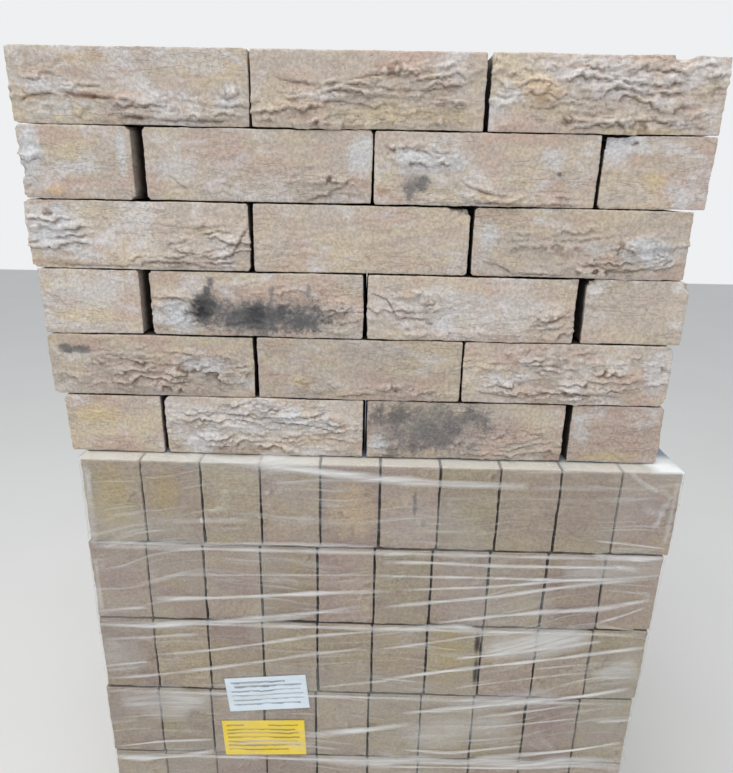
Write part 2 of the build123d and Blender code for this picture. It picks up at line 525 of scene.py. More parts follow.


# brick material: clay clouds, then stains, painted highlights on crests and edges, and painted shade in
# creases and joints
def brickMaterial(name, tones, stains=()):
    look, tree, shader = newMaterial(name)
    place = objectPlace(tree)
    shift = addNode(tree, "ShaderNodeAttribute", attribute_name="shift").outputs["Vector"]
    where = vectorNode(tree, "ADD", place, shift)
    toneGroup = useGroup(tree, clayTone, {
        "Vector": where,
        "Base": (*tones["base"], 1),
        "Second": (*tones["second"], 1),
        "Third": (*tones["third"], 1),
        "Bloom": (*tones["bloom"], 1),
        "Second Share": tones["shares"][0],
        "Third Share": tones["shares"][1],
        "Bloom Share": tones["shares"][2],
        "Mottle": tones["mottle"],
    })
    result = toneGroup["Color"]
    shared = useGroup(tree, clayRag, {"Vector": place})
    masks = []
    for middle, size, kind, strength, ragged in stains:
        stain = useGroup(tree, clayStain, {
            "Vector": place, "Rag": shared["Rag"], "Grain": shared["Grain"],
            "Middle": middle, "Size": size, "Strength": strength, "Ragged": ragged})
        masks.append((stain["Mask"], kind))
    for mask, kind in masks:
        if kind not in darkStainsAndShadow:
            result = mixColour(tree, mask, result, stainAndShadowColours[kind])
    tone = attributeNode(tree, "tone")
    toned = linearNode(tree, tone, tones["variety"], 1.0)
    swing = mathNode(tree, "SINE", mathNode(tree, "MULTIPLY", tone, 9.0))
    greener = linearNode(tree, swing, tones["tint"], toned)
    bluer = mathNode(tree, "SUBTRACT", toned, mathNode(tree, "MULTIPLY", swing, tones["tint"]))
    shade = addNode(tree, "ShaderNodeCombineColor", {0: toned, 1: greener, 2: bluer})
    result = mixColour(tree, 1.0, result, shade.outputs[0], "MULTIPLY")
    # painted highlight on fold crests and along the rounded edges
    crestHighlight = attributeNode(tree, "crestHighlight")
    highlightAmount = mathNode(tree, "MULTIPLY", crestHighlight, tones["crestHighlight"], True)
    result = mixColour(tree, highlightAmount, result, tones["highlightColour"])
    # painted shade in the creases of the folds and strokes
    darker = mathNode(tree, "MULTIPLY", attributeNode(tree, "creaseShade"), tones["creaseShade"], True)
    result = mixColour(tree, darker, result, tones["creaseShadeColour"])
    # dark stains show less on the painted highlights
    bare = mathNode(tree, "SUBTRACT", 1.0, mathNode(tree, "MULTIPLY", crestHighlight, 0.4))
    for mask, kind in masks:
        if kind in darkStainsAndShadow:
            result = mixColour(tree, mathNode(tree, "MULTIPLY", mask, bare), result, stainAndShadowColours[kind])
    # painted shade in the joints: darker the deeper a point lies against the width of its joint
    deep = rampBetween(tree, attributeNode(tree, "joint"), *clayGrain["jointShadeEdge"])
    jointShade = mathNode(tree, "MULTIPLY", deep, clayGrain["jointShadeDark"])
    result = mixColour(tree, jointShade, result, tones["jointShadeColour"])
    result = mixColour(tree, 1.0, result, toneGroup["Grain"], "MULTIPLY")
    sand = useGroup(tree, sandGrain, {"Vector": where, "Pits": tones["pits"]})["Height"]
    height = mathNode(tree, "SUBTRACT", sand, mathNode(tree, "MULTIPLY", toneGroup["Wrinkle"], 0.5))
    feedShader(tree, shader, {
        "Base Color": result,
        "Normal": bumpNode(tree, height, tones["bump"], clayGrain["relief"]),
        "Roughness": mathNode(tree, "SUBTRACT", 0.98, mathNode(tree, "MULTIPLY", sand, 0.14)),
    })
    shader.inputs["Specular IOR Level"].default_value = 0.3
    return look


# Relief of the bricks, in mm

# pairs are a share and the size of its noise
form = {
    "foldLayers": ((1.0, 1.0), (0.4, 0.5)),  # coarse and fine folds: size and share
    "foldWarp": (0.9, 0.42, 0.2),            # how much they wander, twist and tremble
    "foldTwist": 12.0,
    "foldTremble": 5.0,
    "foldPatch": (34.0, 30.0, 15.0),         # they come and go over this size
    "foldLip": 0.14,                         # share of a fold in which it steps out
    "foldGain": 1.25,
    "foldCreaseShade": 0.08,                      # width of the painted crease shade, and where the painted highlight on its crest lies
    "foldHighlight": (0.2, 0.1),
    "zoneEdge": ((0.30, 17.0), (0.12, 6.0)),
    "strokeWobble": ((1.5, 11.0), (0.8, 5.0), (0.3, 2.6)),
    "strokeBreak": 14.0,
    "strokeLedge": 8.0,
    "crumbs": ((1.0, (16.0, 16.0, 8.0)), (0.6, (8.0, 8.0, 5.0)), (0.4, (4.2, 4.2, 3.4))),
    "cornerSpan": (6, 30),                   # corners get sharper over this depth
    "cornerBehind": 0.2,
    "chipEdge": ((0.35, 6.0),),
    "chipSlope": 14,
    "edgeWear": ((0.55, 21.0), (0.3, 7.0)),
    "bowSizes": (75.0, 26.0),
    "bowShare": 0.35,
    "grain": ((0.6, 5.0), (0.4, 2.6)),
    "arris": 0.22,
    "lumpEdge": ((0.18, 9.0),),
    "lumpTop": ((0.25, 5.0),),
}


# pressed folds: each steps out at its lower edge, fades away upwards, and comes and goes along it
def foldRelief(along, up, spot, folds):
    height, creaseShade, crestHighlight = np.zeros(len(along)), np.zeros(len(along)), np.zeros(len(along))
    turned = up * math.cos(folds["tilt"]) - along * math.sin(folds["tilt"])
    lip = form["foldLip"]
    crestPlace, crestWidth = form["foldHighlight"]
    for scale, share in form["foldLayers"]:
        here = spot + 400 * scale
        wander = np.array(folds["wander"]) * scale
        sizes = (wander, form["foldTwist"] * scale, form["foldTremble"])
        phase = turned / (folds["spacing"] * scale) + mixedNoise(here, zip(form["foldWarp"], sizes))
        part = phase - np.floor(phase)
        patch = smooth(-0.35, 0.4, noise(here + 90, np.array(form["foldPatch"]) * scale))
        step = smooth(0.0, lip, part) * (1 - smooth(lip, 1.0, part)) * form["foldGain"]
        height += step * folds["depth"] * share * patch
        # painted shade in the crease where each fold steps out
        near = np.minimum(part, 1 - part) / form["foldCreaseShade"]
        creaseShade = np.maximum(creaseShade, np.exp(-(near ** 2)) * patch * share)
        # painted highlight on the crest above each fold
        off = (part - crestPlace) / crestWidth
        crestHighlight = np.maximum(crestHighlight, np.exp(-(off ** 2)) * patch * share)
    return height, creaseShade, crestHighlight


# where the folds show: soft ovals on the face, with a wandering edge
def zoneMask(along, up, spot, zones, ground):
    mask = np.full(len(along), float(ground))
    wander = mixedNoise(spot, form["zoneEdge"])
    for middle, height, halfLength, halfHeight, strength in zones:
        far = np.hypot((along - middle) / halfLength, (up - height) / halfHeight) + wander
        mask = np.maximum(mask, strength * (1 - smooth(0.6, 1.15, far)))
    return mask


# creases drawn one by one: from and to on the face, bow, depth and width; the clay above each
# stands out over it as a ledge that fades away upwards
def strokeRelief(along, up, spot, strokes):
    height, creaseShade, crestHighlight = np.zeros(len(along)), np.zeros(len(along)), np.zeros(len(along))
    wobble = mixedNoise(spot, form["strokeWobble"])
    broken = 0.75 + 0.5 * noise(spot, form["strokeBreak"])
    for startX, startZ, endX, endZ, bow, depth, width in strokes:
        length = math.hypot(endX - startX, endZ - startZ)
        dx, dz = (endX - startX) / length, (endZ - startZ) / length
        run = ((along - startX) * dx + (up - startZ) * dz) / length
        side = (up - startZ) * dx - (along - startX) * dz
        inside = np.clip(run, 0, 1)
        side = side - bow * 4 * inside * (1 - inside) + wobble
        fade = smooth(-0.1, 0.2, run) * (1 - smooth(0.8, 1.1, run)) * broken
        above = np.maximum(side, 0) / form["strokeLedge"]
        ledge = smooth(-0.5 * width, 0.6 * width, side) * np.exp(-(above ** 2))
        groove = np.exp(-(((side + 0.7 * width) / (0.8 * width)) ** 2))
        height += depth * fade * (0.85 * ledge - 0.5 * groove)
        # painted shade in each groove, and a painted highlight along the ledge above it
        creaseShade = np.maximum(creaseShade, groove * fade * min(1.0, depth))
        crestHighlight = np.maximum(crestHighlight, np.exp(-(((side - width) / width) ** 2)) * fade * min(1.0, depth) * 0.8)
    return height, creaseShade, crestHighlight


# broken, crumbly clay: sharp little ridges of three sizes
def crumbleRelief(spot):
    total = np.zeros(len(spot))
    for share, size in form["crumbs"]:
        total += share * (0.45 - np.abs(noise(spot + 50 * size[0], size)))
    return total


# corners of the face worn round, less so behind it: radii in mm at the left and the right end
def roundCorners(points, size, radii):
    near = 1 - (1 - form["cornerBehind"]) * smooth(*form["cornerSpan"], points[:, 1])
    for radius, sign in zip(radii, (-1, 1)):
        middle = size[0] / 2 + sign * (size[0] / 2 - radius)
        dx = np.maximum(sign * (points[:, 0] - middle), 0)
        dz = np.abs(points[:, 2] - size[2] / 2) - (size[2] / 2 - radius)
        far = np.hypot(dx, np.maximum(dz, 0))
        shrink = np.where((dx > 0) & (dz > 0) & (far > radius), radius / np.maximum(far, 1e-6), 1.0)
        points[:, 0] -= sign * dx * (1 - shrink) * near
        points[:, 2] -= np.sign(points[:, 2] - size[2] / 2) * np.maximum(dz, 0) * (1 - shrink) * near


# chips and notches bitten out of a face or an edge: middle, half sizes and depth, and how far in
# from the face they go
def chipRelief(along, up, spot, chips, inward, reach):
    height = np.zeros(len(along))
    wander = mixedNoise(spot, form["chipEdge"])
    for middle, level, halfLength, halfHeight, depth in chips:
        far = np.hypot((along - middle) / halfLength, (up - level) / halfHeight) + wander
        height -= depth * (1 - smooth(0.45, 1.0, far))
    return height * (1 - smooth(reach, reach + form["chipSlope"], inward))


# a rounded, slightly bowed brick with worn edges, from a box of grid lines
def brickForm(points, size, spot, worn):
    half = np.array(size) / 2
    centred = points - half
    (broad, broadSize), (fine, fineSize) = form["edgeWear"]
    radius = worn["edge"] * (1 + broad * noise(spot, broadSize) + fine * noise(spot + 7, fineSize))
    radius = np.clip(radius, 0.5, min(half) * 0.5)[:, None]
    core = np.clip(centred, radius - half, half - radius)
    away = centred - core
    normal = away / np.linalg.norm(away, axis=1)[:, None]
    centred = core + normal * radius
    bowSize, twistSize = form["bowSizes"]
    lean = worn["bow"] * noise(spot, bowSize) + form["bowShare"] * worn["bow"] * noise(spot + 31, twistSize)
    grain = worn["grain"] * mixedNoise(spot, form["grain"])
    arris = np.clip((1 - np.abs(normal).max(axis=1)) / form["arris"], 0, 1)
    return centred + half, normal, lean + grain, arris


# the frog: a tapered hollow with rounded corners, as a depth over a bed face
def frogDepth(along, across, length, breadth, frog):
    halfLength, halfBreadth = length / 2 - frog["endMargin"], breadth / 2 - frog["sideMargin"]
    dx = np.abs(along - length / 2) - halfLength + frog["corner"]
    dy = np.abs(across - breadth / 2) - halfBreadth + frog["corner"]
    edge = np.hypot(np.maximum(dx, 0), np.maximum(dy, 0)) + np.minimum(np.maximum(dx, dy), 0) - frog["corner"]
    return frog["depth"] * (1 - smooth(-frog["slope"], frog["lip"], edge))


frog = {
    "endMargin": 29.0,
    "sideMargin": 21.0,
    "depth": 11.0,
    "corner": 12.0,
    "slope": 8.0,
    "lip": 0.8,
}


# Panel bricks: loose bricks stacked dry on the pack

panel = {
    "step": 1.35,         # mm between points on the faces to the front
    "deepStep": 5.0,
    "rim": 3.4,
    "thinning": 0.34,     # share of triangles that a brick keeps, all lost from behind its face
    "behind": 0.02,       # what faces the front by less than this is behind
    "edge": 1.9,
    "jointShade": 4.0,          # how soon the painted shade in a joint turns dark, and the slimmest joint, in mm
    "slim": 2.5,
    "topCourse": "panel_6",
    "bow": 0.8,
    "grain": 0.4,
    "crumble": 1.7,
    "crumbGround": 0.12,
    "corners": (3.0, 3.0),
    "joint": 0.9,         # how far the beds and ends lie back between their high spots
    "bedRise": 1.5,       # how high those are, and the most that they stand out
    "bedMost": 0.1,
    "arris": 0.5,         # how much painted highlight the edges get
    "folds": {"spacing": 13.0, "tilt": 0.04, "wander": (48.0, 40.0, 15.0), "depth": 2.8},
    "foldGround": 0.12,
    "foldFoot": (0.45, 6.0),  # what is left of the folds at the lower and upper edge, and over how many mm
    "foldHead": (0.3, 7.0),
    "chipReach": 14.0,        # how far in from the face chips go
    "jointEnds": (3, 12),     # beds get painted shade from this far in from the ends
    "jointBack": (84, 100),   # behind here nothing lies over or under, and the painted joint shade ends
    "jointNoise": 26.0,
}

clay = {
    "base": paint(190, 178, 167),
    "second": paint(201, 187, 164),
    "third": paint(191, 169, 156),
    "bloom": paint(208, 203, 201),
    "shares": (0.5, 0.5, 0.4),
    "mottle": 0.3,
    "variety": 0.07,
    "tint": 0.0,
    "crestHighlight": 0.5,
    "highlightColour": paint(222, 215, 206),
    "creaseShade": 0.85,
    "creaseShadeColour": paint(118, 94, 78),
    # colour of the painted shade deep in the joints
    "jointShadeColour": paint(52, 44, 38),
    "pits": 0.8,
    "bump": 0.85,
}

# marks on each face, in mm from its left end and its bottom: reach is how far the ends stand out
# past the plain size, zones hold the pressed folds, strokes are single deep creases
faces = {
    "panel_6_left_stretcher": {
        "reach": (3.7, 3.4), "tone": -0.5, "clay": {"shares": (0.5, 0.42, 0.48)},
        "zones": [(40, 26, 44, 18, 0.8), (120, 14, 90, 14, 0.9), (198, 18, 22, 18, 0.7)],
        "corners": (1.5, 0.8), "worn": {"edge": 1.3},
        "strokes": [(46, 29, 100, 23, -1, 2.8, 1.5), (100, 23, 138, 16, 0, 2.2, 1.3),
                    (94, 10, 205, 6, -2, 2.2, 1.4), (8, 20, 44, 26, 3, 1.4, 1.3)],
        "stains": [(28, 33, 24, 8, "frost", 0.7, 0.7), (72, 25, 40, 4, "rust", 0.85, 0.5),
                   (70, 56, 36, 7, "gold", 0.4, 0.8), (202, 22, 18, 18, "frost", 0.6, 0.7),
                   (110, 36, 34, 8, "pale", 0.5, 0.8)],
    },
    "panel_6_middle_stretcher": {
        "reach": (2.8, -1.0), "corners": (0.8, 1.5), "tone": -0.1, "folds": {"depth": 2.9, "spacing": 12.0},
        "zones": [(110, 20, 120, 24, 1.15), (160, 42, 70, 18, 0.9)],
        "strokes": [(24, 44, 68, 38, -1.5, 2.0, 1.1), (88, 42, 172, 50, 3, 1.8, 1.1),
                    (134, 34, 200, 42, -2, 2.0, 1.1), (60, 24, 110, 20, 2, 1.6, 1.1)],
        "stains": [(150, 14, 60, 8, "gold", 0.4, 0.8)],
    },
    "panel_6_right_stretcher": {
        "reach": (0.0, 0.3), "tone": 0.9, "corners": (0.8, 2.0),
        "clay": {"shares": (0.42, 0.45, 0.5)}, "folds": {"depth": 2.7, "spacing": 10.0},
        "zones": [(110, 34, 130, 42, 1.2)],
        "strokes": [(76, 13, 130, 9, -2, 2.4, 1.3), (120, 10, 172, 11, 2, 2.2, 1.3),
                    (160, 8, 208, 16, -2, 1.6, 1.2), (36, 24, 66, 27, -4, 2.2, 1.2)],
        "lumps": [(47, 36, 19, 14, 5.0)], "worn": {"edge": 1.2},
        "chips": [(173, 67, 12, 8, 12.0), (204, 44, 3, 2, 1.5)], "chipReach": 120.0,
        "stains": [(47, 36, 24, 18, "tan", 0.7, 0.4), (14, 30, 10, 14, "pale", 0.6, 0.8),
                   (205, 17, 10, 13, "pale", 0.7, 0.8), (150, 3, 60, 3, "gold", 0.6, 0.6),
                   (122, 44, 34, 16, "frost", 0.55, 0.8), (120, 10, 20, 6, "pale", 0.5, 0.7)],
    },
    "panel_5_left_header": {
        "reach": (2.0, 3.3),
        "zones": [(10, 40, 14, 30, 0.7)],
        "chips": [(1, 25, 5, 9, 3.5), (2, 45, 3, 6, 1.5)],
        "lumps": [(30, 7, 14, 8, 2.2)],
        "stains": [(9, 44, 14, 34, "frost", 0.9, 0.5), (62, 34, 16, 12, "frost", 0.4, 0.8),
                   (30, 7, 12, 7, "tan", 0.8, 0.4),
                   (97, 42, 6, 28, "frost", 0.7, 0.4)],
    },
    "panel_5_left_stretcher": {
        "reach": (2.5, 0.9), "belly": (0, 2.2),
        "zones": [(176, 13, 44, 15, 0.95), (60, 12, 60, 10, 0.35)],
        "strokes": [(24, 24, 39, 11, 0, 1.6, 1.0), (150, 3, 190, 19, -2, 2.4, 1.3),
                    (170, 8, 205, 10, 2, 1.6, 1.2)],
        "stains": [(206, 46, 20, 20, "frost", 0.7, 0.7), (26, 30, 18, 22, "frost", 0.4, 0.8),
                   (112, 34, 56, 16, "mauve", 0.4, 0.8)],
    },
    "panel_5_right_stretcher": {
        "reach": (0.5, -2.5), "tone": 0.2, "belly": (2.4, 0),
        "zones": [(45, 46, 40, 13, 1.1), (120, 6, 105, 8, 0.9)],
        "strokes": [(84, 22, 120, 11, -1, 2.6, 1.2), (90, 6, 200, 4, -2, 1.8, 1.2),
                    (14, 50, 60, 44, 5, 1.4, 1.1)],
        "stains": [(45, 40, 46, 18, "frost", 0.8, 0.7), (168, 44, 16, 12, "frost", 0.5, 0.7),
                   (46, 21, 10, 8, "smoke", 1.0, 0.8),
                   (34, 12, 7, 11, "smoke", 1.0, 0.8), (38, 20, 15, 12, "smoke", 0.5, 0.9),
                   (176, 31, 3.4, 3, "burn", 0.8, 0.3), (8, 12, 7, 5, "rust", 0.6, 0.5),
                   (104, 10, 20, 4, "gold", 0.5, 0.5)],
    },
    "panel_5_right_header": {
        "reach": (2.0, -0.5), "tone": 0.2,
        "chips": [(6, 66, 22, 15, 3.6), (27, 60, 4, 2.6, 3.0)],
        "stains": [(12, 57, 26, 18, "frost", 0.8, 0.7), (28, 60, 3, 2, "burn", 0.7, 0.3),
                   (50, 26, 16, 12, "gold", 0.5, 0.8)],
    },
    "panel_4_left_stretcher": {
        "reach": (4.0, 1.9), "tone": 0.7, "clay": {"shares": (0.5, 0.42, 0.48)},
        "folds": {"spacing": 10.0, "depth": 2.4},
        "zones": [(30, 34, 36, 28, 1.0), (180, 24, 50, 26, 1.15), (130, 8, 40, 8, 0.9)],
        "strokes": [(196, 14, 214, 46, 0, 2.6, 1.2), (108, 9, 172, 5, 2, 2.4, 1.2),
                    (22, 5, 108, 5, -1, 1.8, 1.1),
                    (140, 22, 166, 16, 0, 1.4, 1.0), (166, 20, 200, 30, -3, 2.0, 1.1)],
        "stains": [(30, 36, 40, 28, "frost", 0.65, 0.6), (40, 6, 60, 5, "rust", 0.4, 0.7),
                   (190, 30, 30, 12, "pale", 0.5, 0.8)],
    },
    "panel_4_middle_stretcher": {
        "reach": (-0.5, -1.0), "tone": 0.1,
        "zones": [(60, 30, 50, 18, 0.25)],
        "corners": (4, 9),
        "chips": [(213, 71, 30, 14, 8.0)],
        "stains": [(150, 12, 40, 10, "mauve", 0.3, 0.8)],
    },
    "panel_4_right_stretcher": {
        "reach": (-0.9, -1.5), "tone": -0.6, "folds": {"depth": 3.0, "spacing": 11.0},
        "zones": [(135, 12, 60, 15, 1.2), (176, 24, 40, 24, 1.15), (80, 40, 70, 16, 0.55)],
        "strokes": [(112, 17, 152, 8, -1, 2.4, 1.2), (10, 16, 44, 4, 2, 1.8, 1.1),
                    (44, 4, 96, 3, 1, 1.6, 1.1),
                    (150, 8, 200, 22, -3, 1.6, 1.2)],
        "corners": (8, 4),
        "stains": [(176, 28, 34, 20, "frost", 0.8, 0.7), (190, 30, 14, 5, "smoke", 0.5, 0.8),
                   (134, 20, 16, 4, "rust", 0.5, 0.6), (16, 40, 12, 22, "frost", 0.5, 0.8),
                   (130, 14, 24, 5, "rust", 0.4, 0.6)],
    },
    "panel_3_left_header": {
        "reach": (-1.4, 0.7), "tone": 1.0, "clay": {"shares": (0.5, 0.42, 0.48)},
        "stains": [(52, 38, 56, 34, "frost", 0.4, 0.9), (50, 20, 44, 12, "gold", 0.5, 0.8)],
    },
    "panel_3_left_stretcher": {
        "reach": (2.5, 0.4), "belly": (0, 2.4),
        "zones": [(28, 24, 32, 26, 1.0), (190, 22, 26, 22, 0.9), (110, 50, 80, 10, 0.7),
                  (110, 20, 60, 18, 0.6)],
        "strokes": [(170, 18, 206, 30, 3, 1.6, 1.0), (10, 40, 50, 30, 4, 1.4, 1.0)],
        "stains": [(26, 22, 34, 24, "frost", 0.9, 0.6), (112, 22, 90, 24, "smoke", 1.0, 0.4),
                   (106, 21, 76, 21, "burn", 0.65, 0.9), (106, 24, 22, 19, "burn", 0.9, 0.5),
                   (80, 18, 18, 14, "burn", 0.7, 0.7), (150, 17, 34, 14, "burn", 0.65, 0.8),
                   (51, 30, 19, 19, "burn", 1.0, 0.25), (51, 30, 17, 17, "soot", 1.0, 0.15),
                   (106, 25, 12, 11, "soot", 0.75, 0.6), (134, 28, 14, 7, "soot", 0.45, 0.7),
                   (56, 47, 5, 9, "burn", 0.9, 0.4), (60, 56, 4.5, 8, "burn", 0.85, 0.4),
                   (122, 48, 4, 9, "smoke", 0.8, 0.6), (160, 50, 3, 8, "smoke", 0.7, 0.6)],
    },
    "panel_3_right_stretcher": {
        "reach": (0.0, -3.0), "tone": 0.6, "belly": (2.4, 0),
        "zones": [(40, 30, 44, 22, 0.8), (188, 22, 32, 20, 0.9), (110, 6, 110, 8, 0.9)],
        "strokes": [(4, 48, 30, 24, 6, 2.2, 1.1), (30, 24, 62, 22, 2, 1.4, 1.1),
                    (168, 18, 208, 34, -3, 2.4, 1.3)],
        "stains": [(100, 32, 116, 34, "frost", 0.32, 0.9), (70, 52, 30, 8, "pale", 0.6, 0.8),
                   (110, 56, 40, 6, "tan", 0.3, 0.8)],
    },
    "panel_3_right_header": {
        "reach": (-0.5, 0.0), "tone": 0.4,
        "zones": [(8, 50, 12, 16, 0.7)],
        "chips": [(0, 66, 10, 6, 3.0), (103, 64, 10, 8, 4.0)],
        "stains": [(8, 56, 12, 9, "pale", 0.8, 0.6), (95, 60, 12, 8, "pale", 0.8, 0.6)],
    },
    "panel_2_left_stretcher": {
        "reach": (3.8, -2.1), "tone": -1.2,
        "zones": [(120, 28, 104, 28, 1.2), (40, 20, 44, 20, 0.7)],
        "strokes": [(60, 46, 135, 36, -3, 2.0, 1.1), (130, 36, 158, 42, 2, 1.8, 1.0)],
        "chips": [(12, 13, 6, 5, 2.6)],
        "stains": [(15, 52, 11, 7, "burn", 0.85, 0.5), (31, 50, 13, 6, "burn", 0.8, 0.6),
                   (13, 13, 6, 4, "pale", 0.8, 0.4), (160, 36, 30, 12, "frost", 0.6, 0.8),
                   (24, 44, 20, 8, "pale", 0.6, 0.8)],
    },
    "panel_2_middle_stretcher": {
        "reach": (0.1, 0.3), "tone": -1.4,
        "zones": [(150, 9, 66, 11, 1.0), (60, 16, 30, 10, 0.6)],
        "strokes": [(84, 4, 130, 8, 1, 1.8, 1.1)],
        "stains": [(46, 20, 12, 8, "gold", 0.6, 0.7), (52, 12, 10, 7, "rust", 0.35, 0.8)],
    },
    "panel_2_right_stretcher": {
        "reach": (1.0, 1.8), "corners": (3, 9), "tone": 0.4, "folds": {"depth": 3.0, "spacing": 11.0},
        "zones": [(105, 30, 115, 34, 1.15)],
        "strokes": [(14, 14, 70, 10, -2, 1.8, 1.1), (90, 20, 170, 12, -3, 2.0, 1.2),
                    (60, 44, 120, 38, 2, 1.8, 1.1)],
        "stains": [(202, 36, 22, 34, "frost", 0.55, 0.7), (120, 40, 60, 14, "pale", 0.4, 0.9)],
    },
    "panel_1_left_header": {
        "reach": (1.2, -0.2), "tone": 0.7, "corners": (5, 3),
        "stains": [(34, 44, 30, 14, "gold", 0.6, 0.8), (96, 60, 10, 6, "pale", 0.5, 0.6)],
    },
    "panel_1_left_stretcher": {
        "reach": (1.5, -1.5),
        "tone": 1.3, "clay": {"shares": (0.5, 0.42, 0.48)}, "folds": {"depth": 3.0, "spacing": 11.0},
        "belly": (0, 2.1),
        "corners": (6, 3),
        "zones": [(110, 32, 116, 36, 1.15)],
        "strokes": [(30, 52, 120, 50, -2, 1.8, 1.0), (110, 40, 190, 30, 4, 2.0, 1.1)],
        "stains": [(110, 36, 112, 34, "frost", 0.35, 0.9), (36, 20, 26, 16, "frost", 0.6, 0.8),
                   (140, 42, 40, 14, "frost", 0.6, 0.8), (160, 20, 40, 14, "tan", 0.35, 0.9)],
    },
    "panel_1_right_stretcher": {
        "reach": (0.5, -1.0), "tone": -0.6, "belly": (2.1, 0),
        "zones": [(150, 18, 70, 22, 0.9), (30, 14, 30, 16, 0.6)],
        "strokes": [(150, 10, 205, 24, 3, 1.6, 1.1)],
        "stains": [(62, 38, 92, 44, "smoke", 0.8, 0.6), (30, 50, 28, 16, "burn", 0.75, 0.8),
                   (104, 48, 28, 14, "burn", 0.5, 0.9), (68, 28, 40, 26, "burn", 0.45, 0.9),
                   (30, 6, 16, 8, "burn", 0.6, 0.8), (12, 18, 16, 18, "frost", 0.9, 0.6),
                   (90, 26, 26, 12, "mauve", 0.4, 0.8)],
    },
    "panel_1_right_header": {
        "reach": (-3.5, -1.1), "tone": -1.3,
        "zones": [(60, 30, 60, 30, 0.3)], "corners": (3, 8),
        "clay": {"shares": (0.35, 0.65, 0.42)},
        "stains": [(50, 8, 44, 7, "gold", 0.6, 0.7), (14, 40, 14, 24, "frost", 0.5, 0.8),
                   (92, 60, 10, 6, "pale", 0.5, 0.6)],
    },
}


# thins the mesh away from the face, so that the face keeps its points
def thinBehind(piece, behind, share):
    group = piece.vertex_groups.new(name="behind")
    group.add(np.flatnonzero(behind).tolist(), 1.0, "REPLACE")
    thinner = piece.modifiers.new("thin", "DECIMATE")
    thinner.ratio = share
    thinner.vertex_group = "behind"
    thinner.vertex_group_factor = 1000
    depsgraph = bpy.context.evaluated_depsgraph_get()
    thinned = bpy.data.meshes.new_from_object(piece.evaluated_get(depsgraph))
    piece.modifiers.clear()
    piece.vertex_groups.clear()
    old, piece.data = piece.data, thinned
    thinned.name = piece.name
    bpy.data.meshes.remove(old)


def panelBrick(name, marks, seed):
    low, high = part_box(name)
    size = [(b - a) * 1000 for a, b in zip(low, high)]
    points, quads, masks, ahead = panelShape(name, marks, size, seed)
    brick = addMesh(name + "_brick", points + np.array(low) * 1000, quads, masks, seed)
    thinBehind(brick, ahead < panel["behind"], panel["thinning"])
    stains = [stainOnFace(low, *stain) for stain in marks.get("stains", ())]
    tones = {**clay, **marks.get("clay", {})}
    brick.data.materials.append(brickMaterial(name + "_clay", tones, stains))
    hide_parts(name)
    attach(brick, "root")


# the shape of a panel brick from its corner, its masks, and how far each point faces the front
def panelShape(name, marks, size, seed):
    steps = (panel["step"], panel["deepStep"], panel["step"])
    points, quads = gridBox([gridLines(side, step, panel["rim"]) for side, step in zip(size, steps)])
    spot = points + seed
    worn = {**{key: panel[key] for key in ("edge", "bow", "grain")}, **marks.get("worn", {})}
    points, normal, relief, arris = brickForm(points, size, spot, worn)
    along, up = points[:, 0], points[:, 2]
    ahead = np.clip(-normal[:, 1], 0, 1)
    aside = 1 - ahead
    folds = {**panel["folds"], **marks.get("folds", {})}
    rise, foldCreaseShade, foldHighlight = foldRelief(along, up, spot, folds)
    zone = zoneMask(along, up, spot, marks.get("zones", ()), panel["foldGround"])
    zone = zone * fadeIn(up, *panel["foldFoot"]) * fadeIn(size[2] - up, *panel["foldHead"])
    drawn, drawnCreaseShade, drawnHighlight = strokeRelief(along, up, spot, marks.get("strokes", ()))
    reach = marks.get("chipReach", panel["chipReach"])
    bitten = chipRelief(along, up, spot, marks.get("chips", ()), points[:, 1], reach)
    face = rise * zone + drawn + panel["crumble"] * crumbleRelief(spot) * (panel["crumbGround"] + zone)
    raised = lumpRelief(along, up, spot, marks.get("lumps", ()))
    hidden = np.minimum(panel["bedRise"] * relief - panel["joint"], panel["bedMost"])
    relief = relief * ahead + hidden * aside + (face + raised) * ahead + bitten
    relief -= frogTop(points, size, normal)
    moved = points + normal * relief[:, None]
    moved[:, 0] += spreadEnds(points, size, marks["reach"], marks.get("belly", (0, 0)))
    roundCorners(moved, size, marks.get("corners", panel["corners"]))
    masks = {
        # painted shade in the creases, painted highlight on crests and edges
        "creaseShade": np.clip(foldCreaseShade * zone + drawnCreaseShade, 0, 1) * ahead,
        "crestHighlight": np.clip(foldHighlight * zone + drawnHighlight + panel["arris"] * arris, 0, 1),
        # the joint mask holds painted shade deep in the joints
        "joint": jointShadeDepth(name, points, normal, size),
        "tone": np.full(len(moved), marks.get("tone", 0.0)),
    }
    return moved, quads, masks, ahead


# how deep each point lies in a joint, against the width of the joint, which sets the painted shade there:
# at the ends beside a neighbour, and over and under the brick as far back as the courses go
def jointShadeDepth(name, points, normal, size):
    course = [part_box(other) for other in faces if other.startswith(name[:len("panel_1_")])]
    low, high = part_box(name)
    before = [(low[0] - box[1][0]) * 1000 for box in course if box[1][0] < low[0] + 0.001]
    after = [(box[0][0] - high[0]) * 1000 for box in course if box[0][0] > high[0] - 0.001]
    share = np.zeros(len(points))
    for sign, gaps in ((-1, before), (1, after)):
        if gaps:
            share += np.clip(sign * normal[:, 0], 0, 1) * panel["jointShade"] / max(min(gaps), panel["slim"])
    beds = np.clip(-normal[:, 2], 0, 1)
    if not name.startswith(panel["topCourse"]):
        beds += np.clip(normal[:, 2], 0, 1)
    inward = smooth(*panel["jointEnds"], np.minimum(points[:, 0], size[0] - points[:, 0]))
    uneven = 0.9 + 0.6 * noise(points + low * 1000, panel["jointNoise"])
    share += beds * inward * panel["jointShade"] / panel["slim"] * uneven
    return np.minimum(share * points[:, 1], 10) * (1 - smooth(*panel["jointBack"], points[:, 1]))


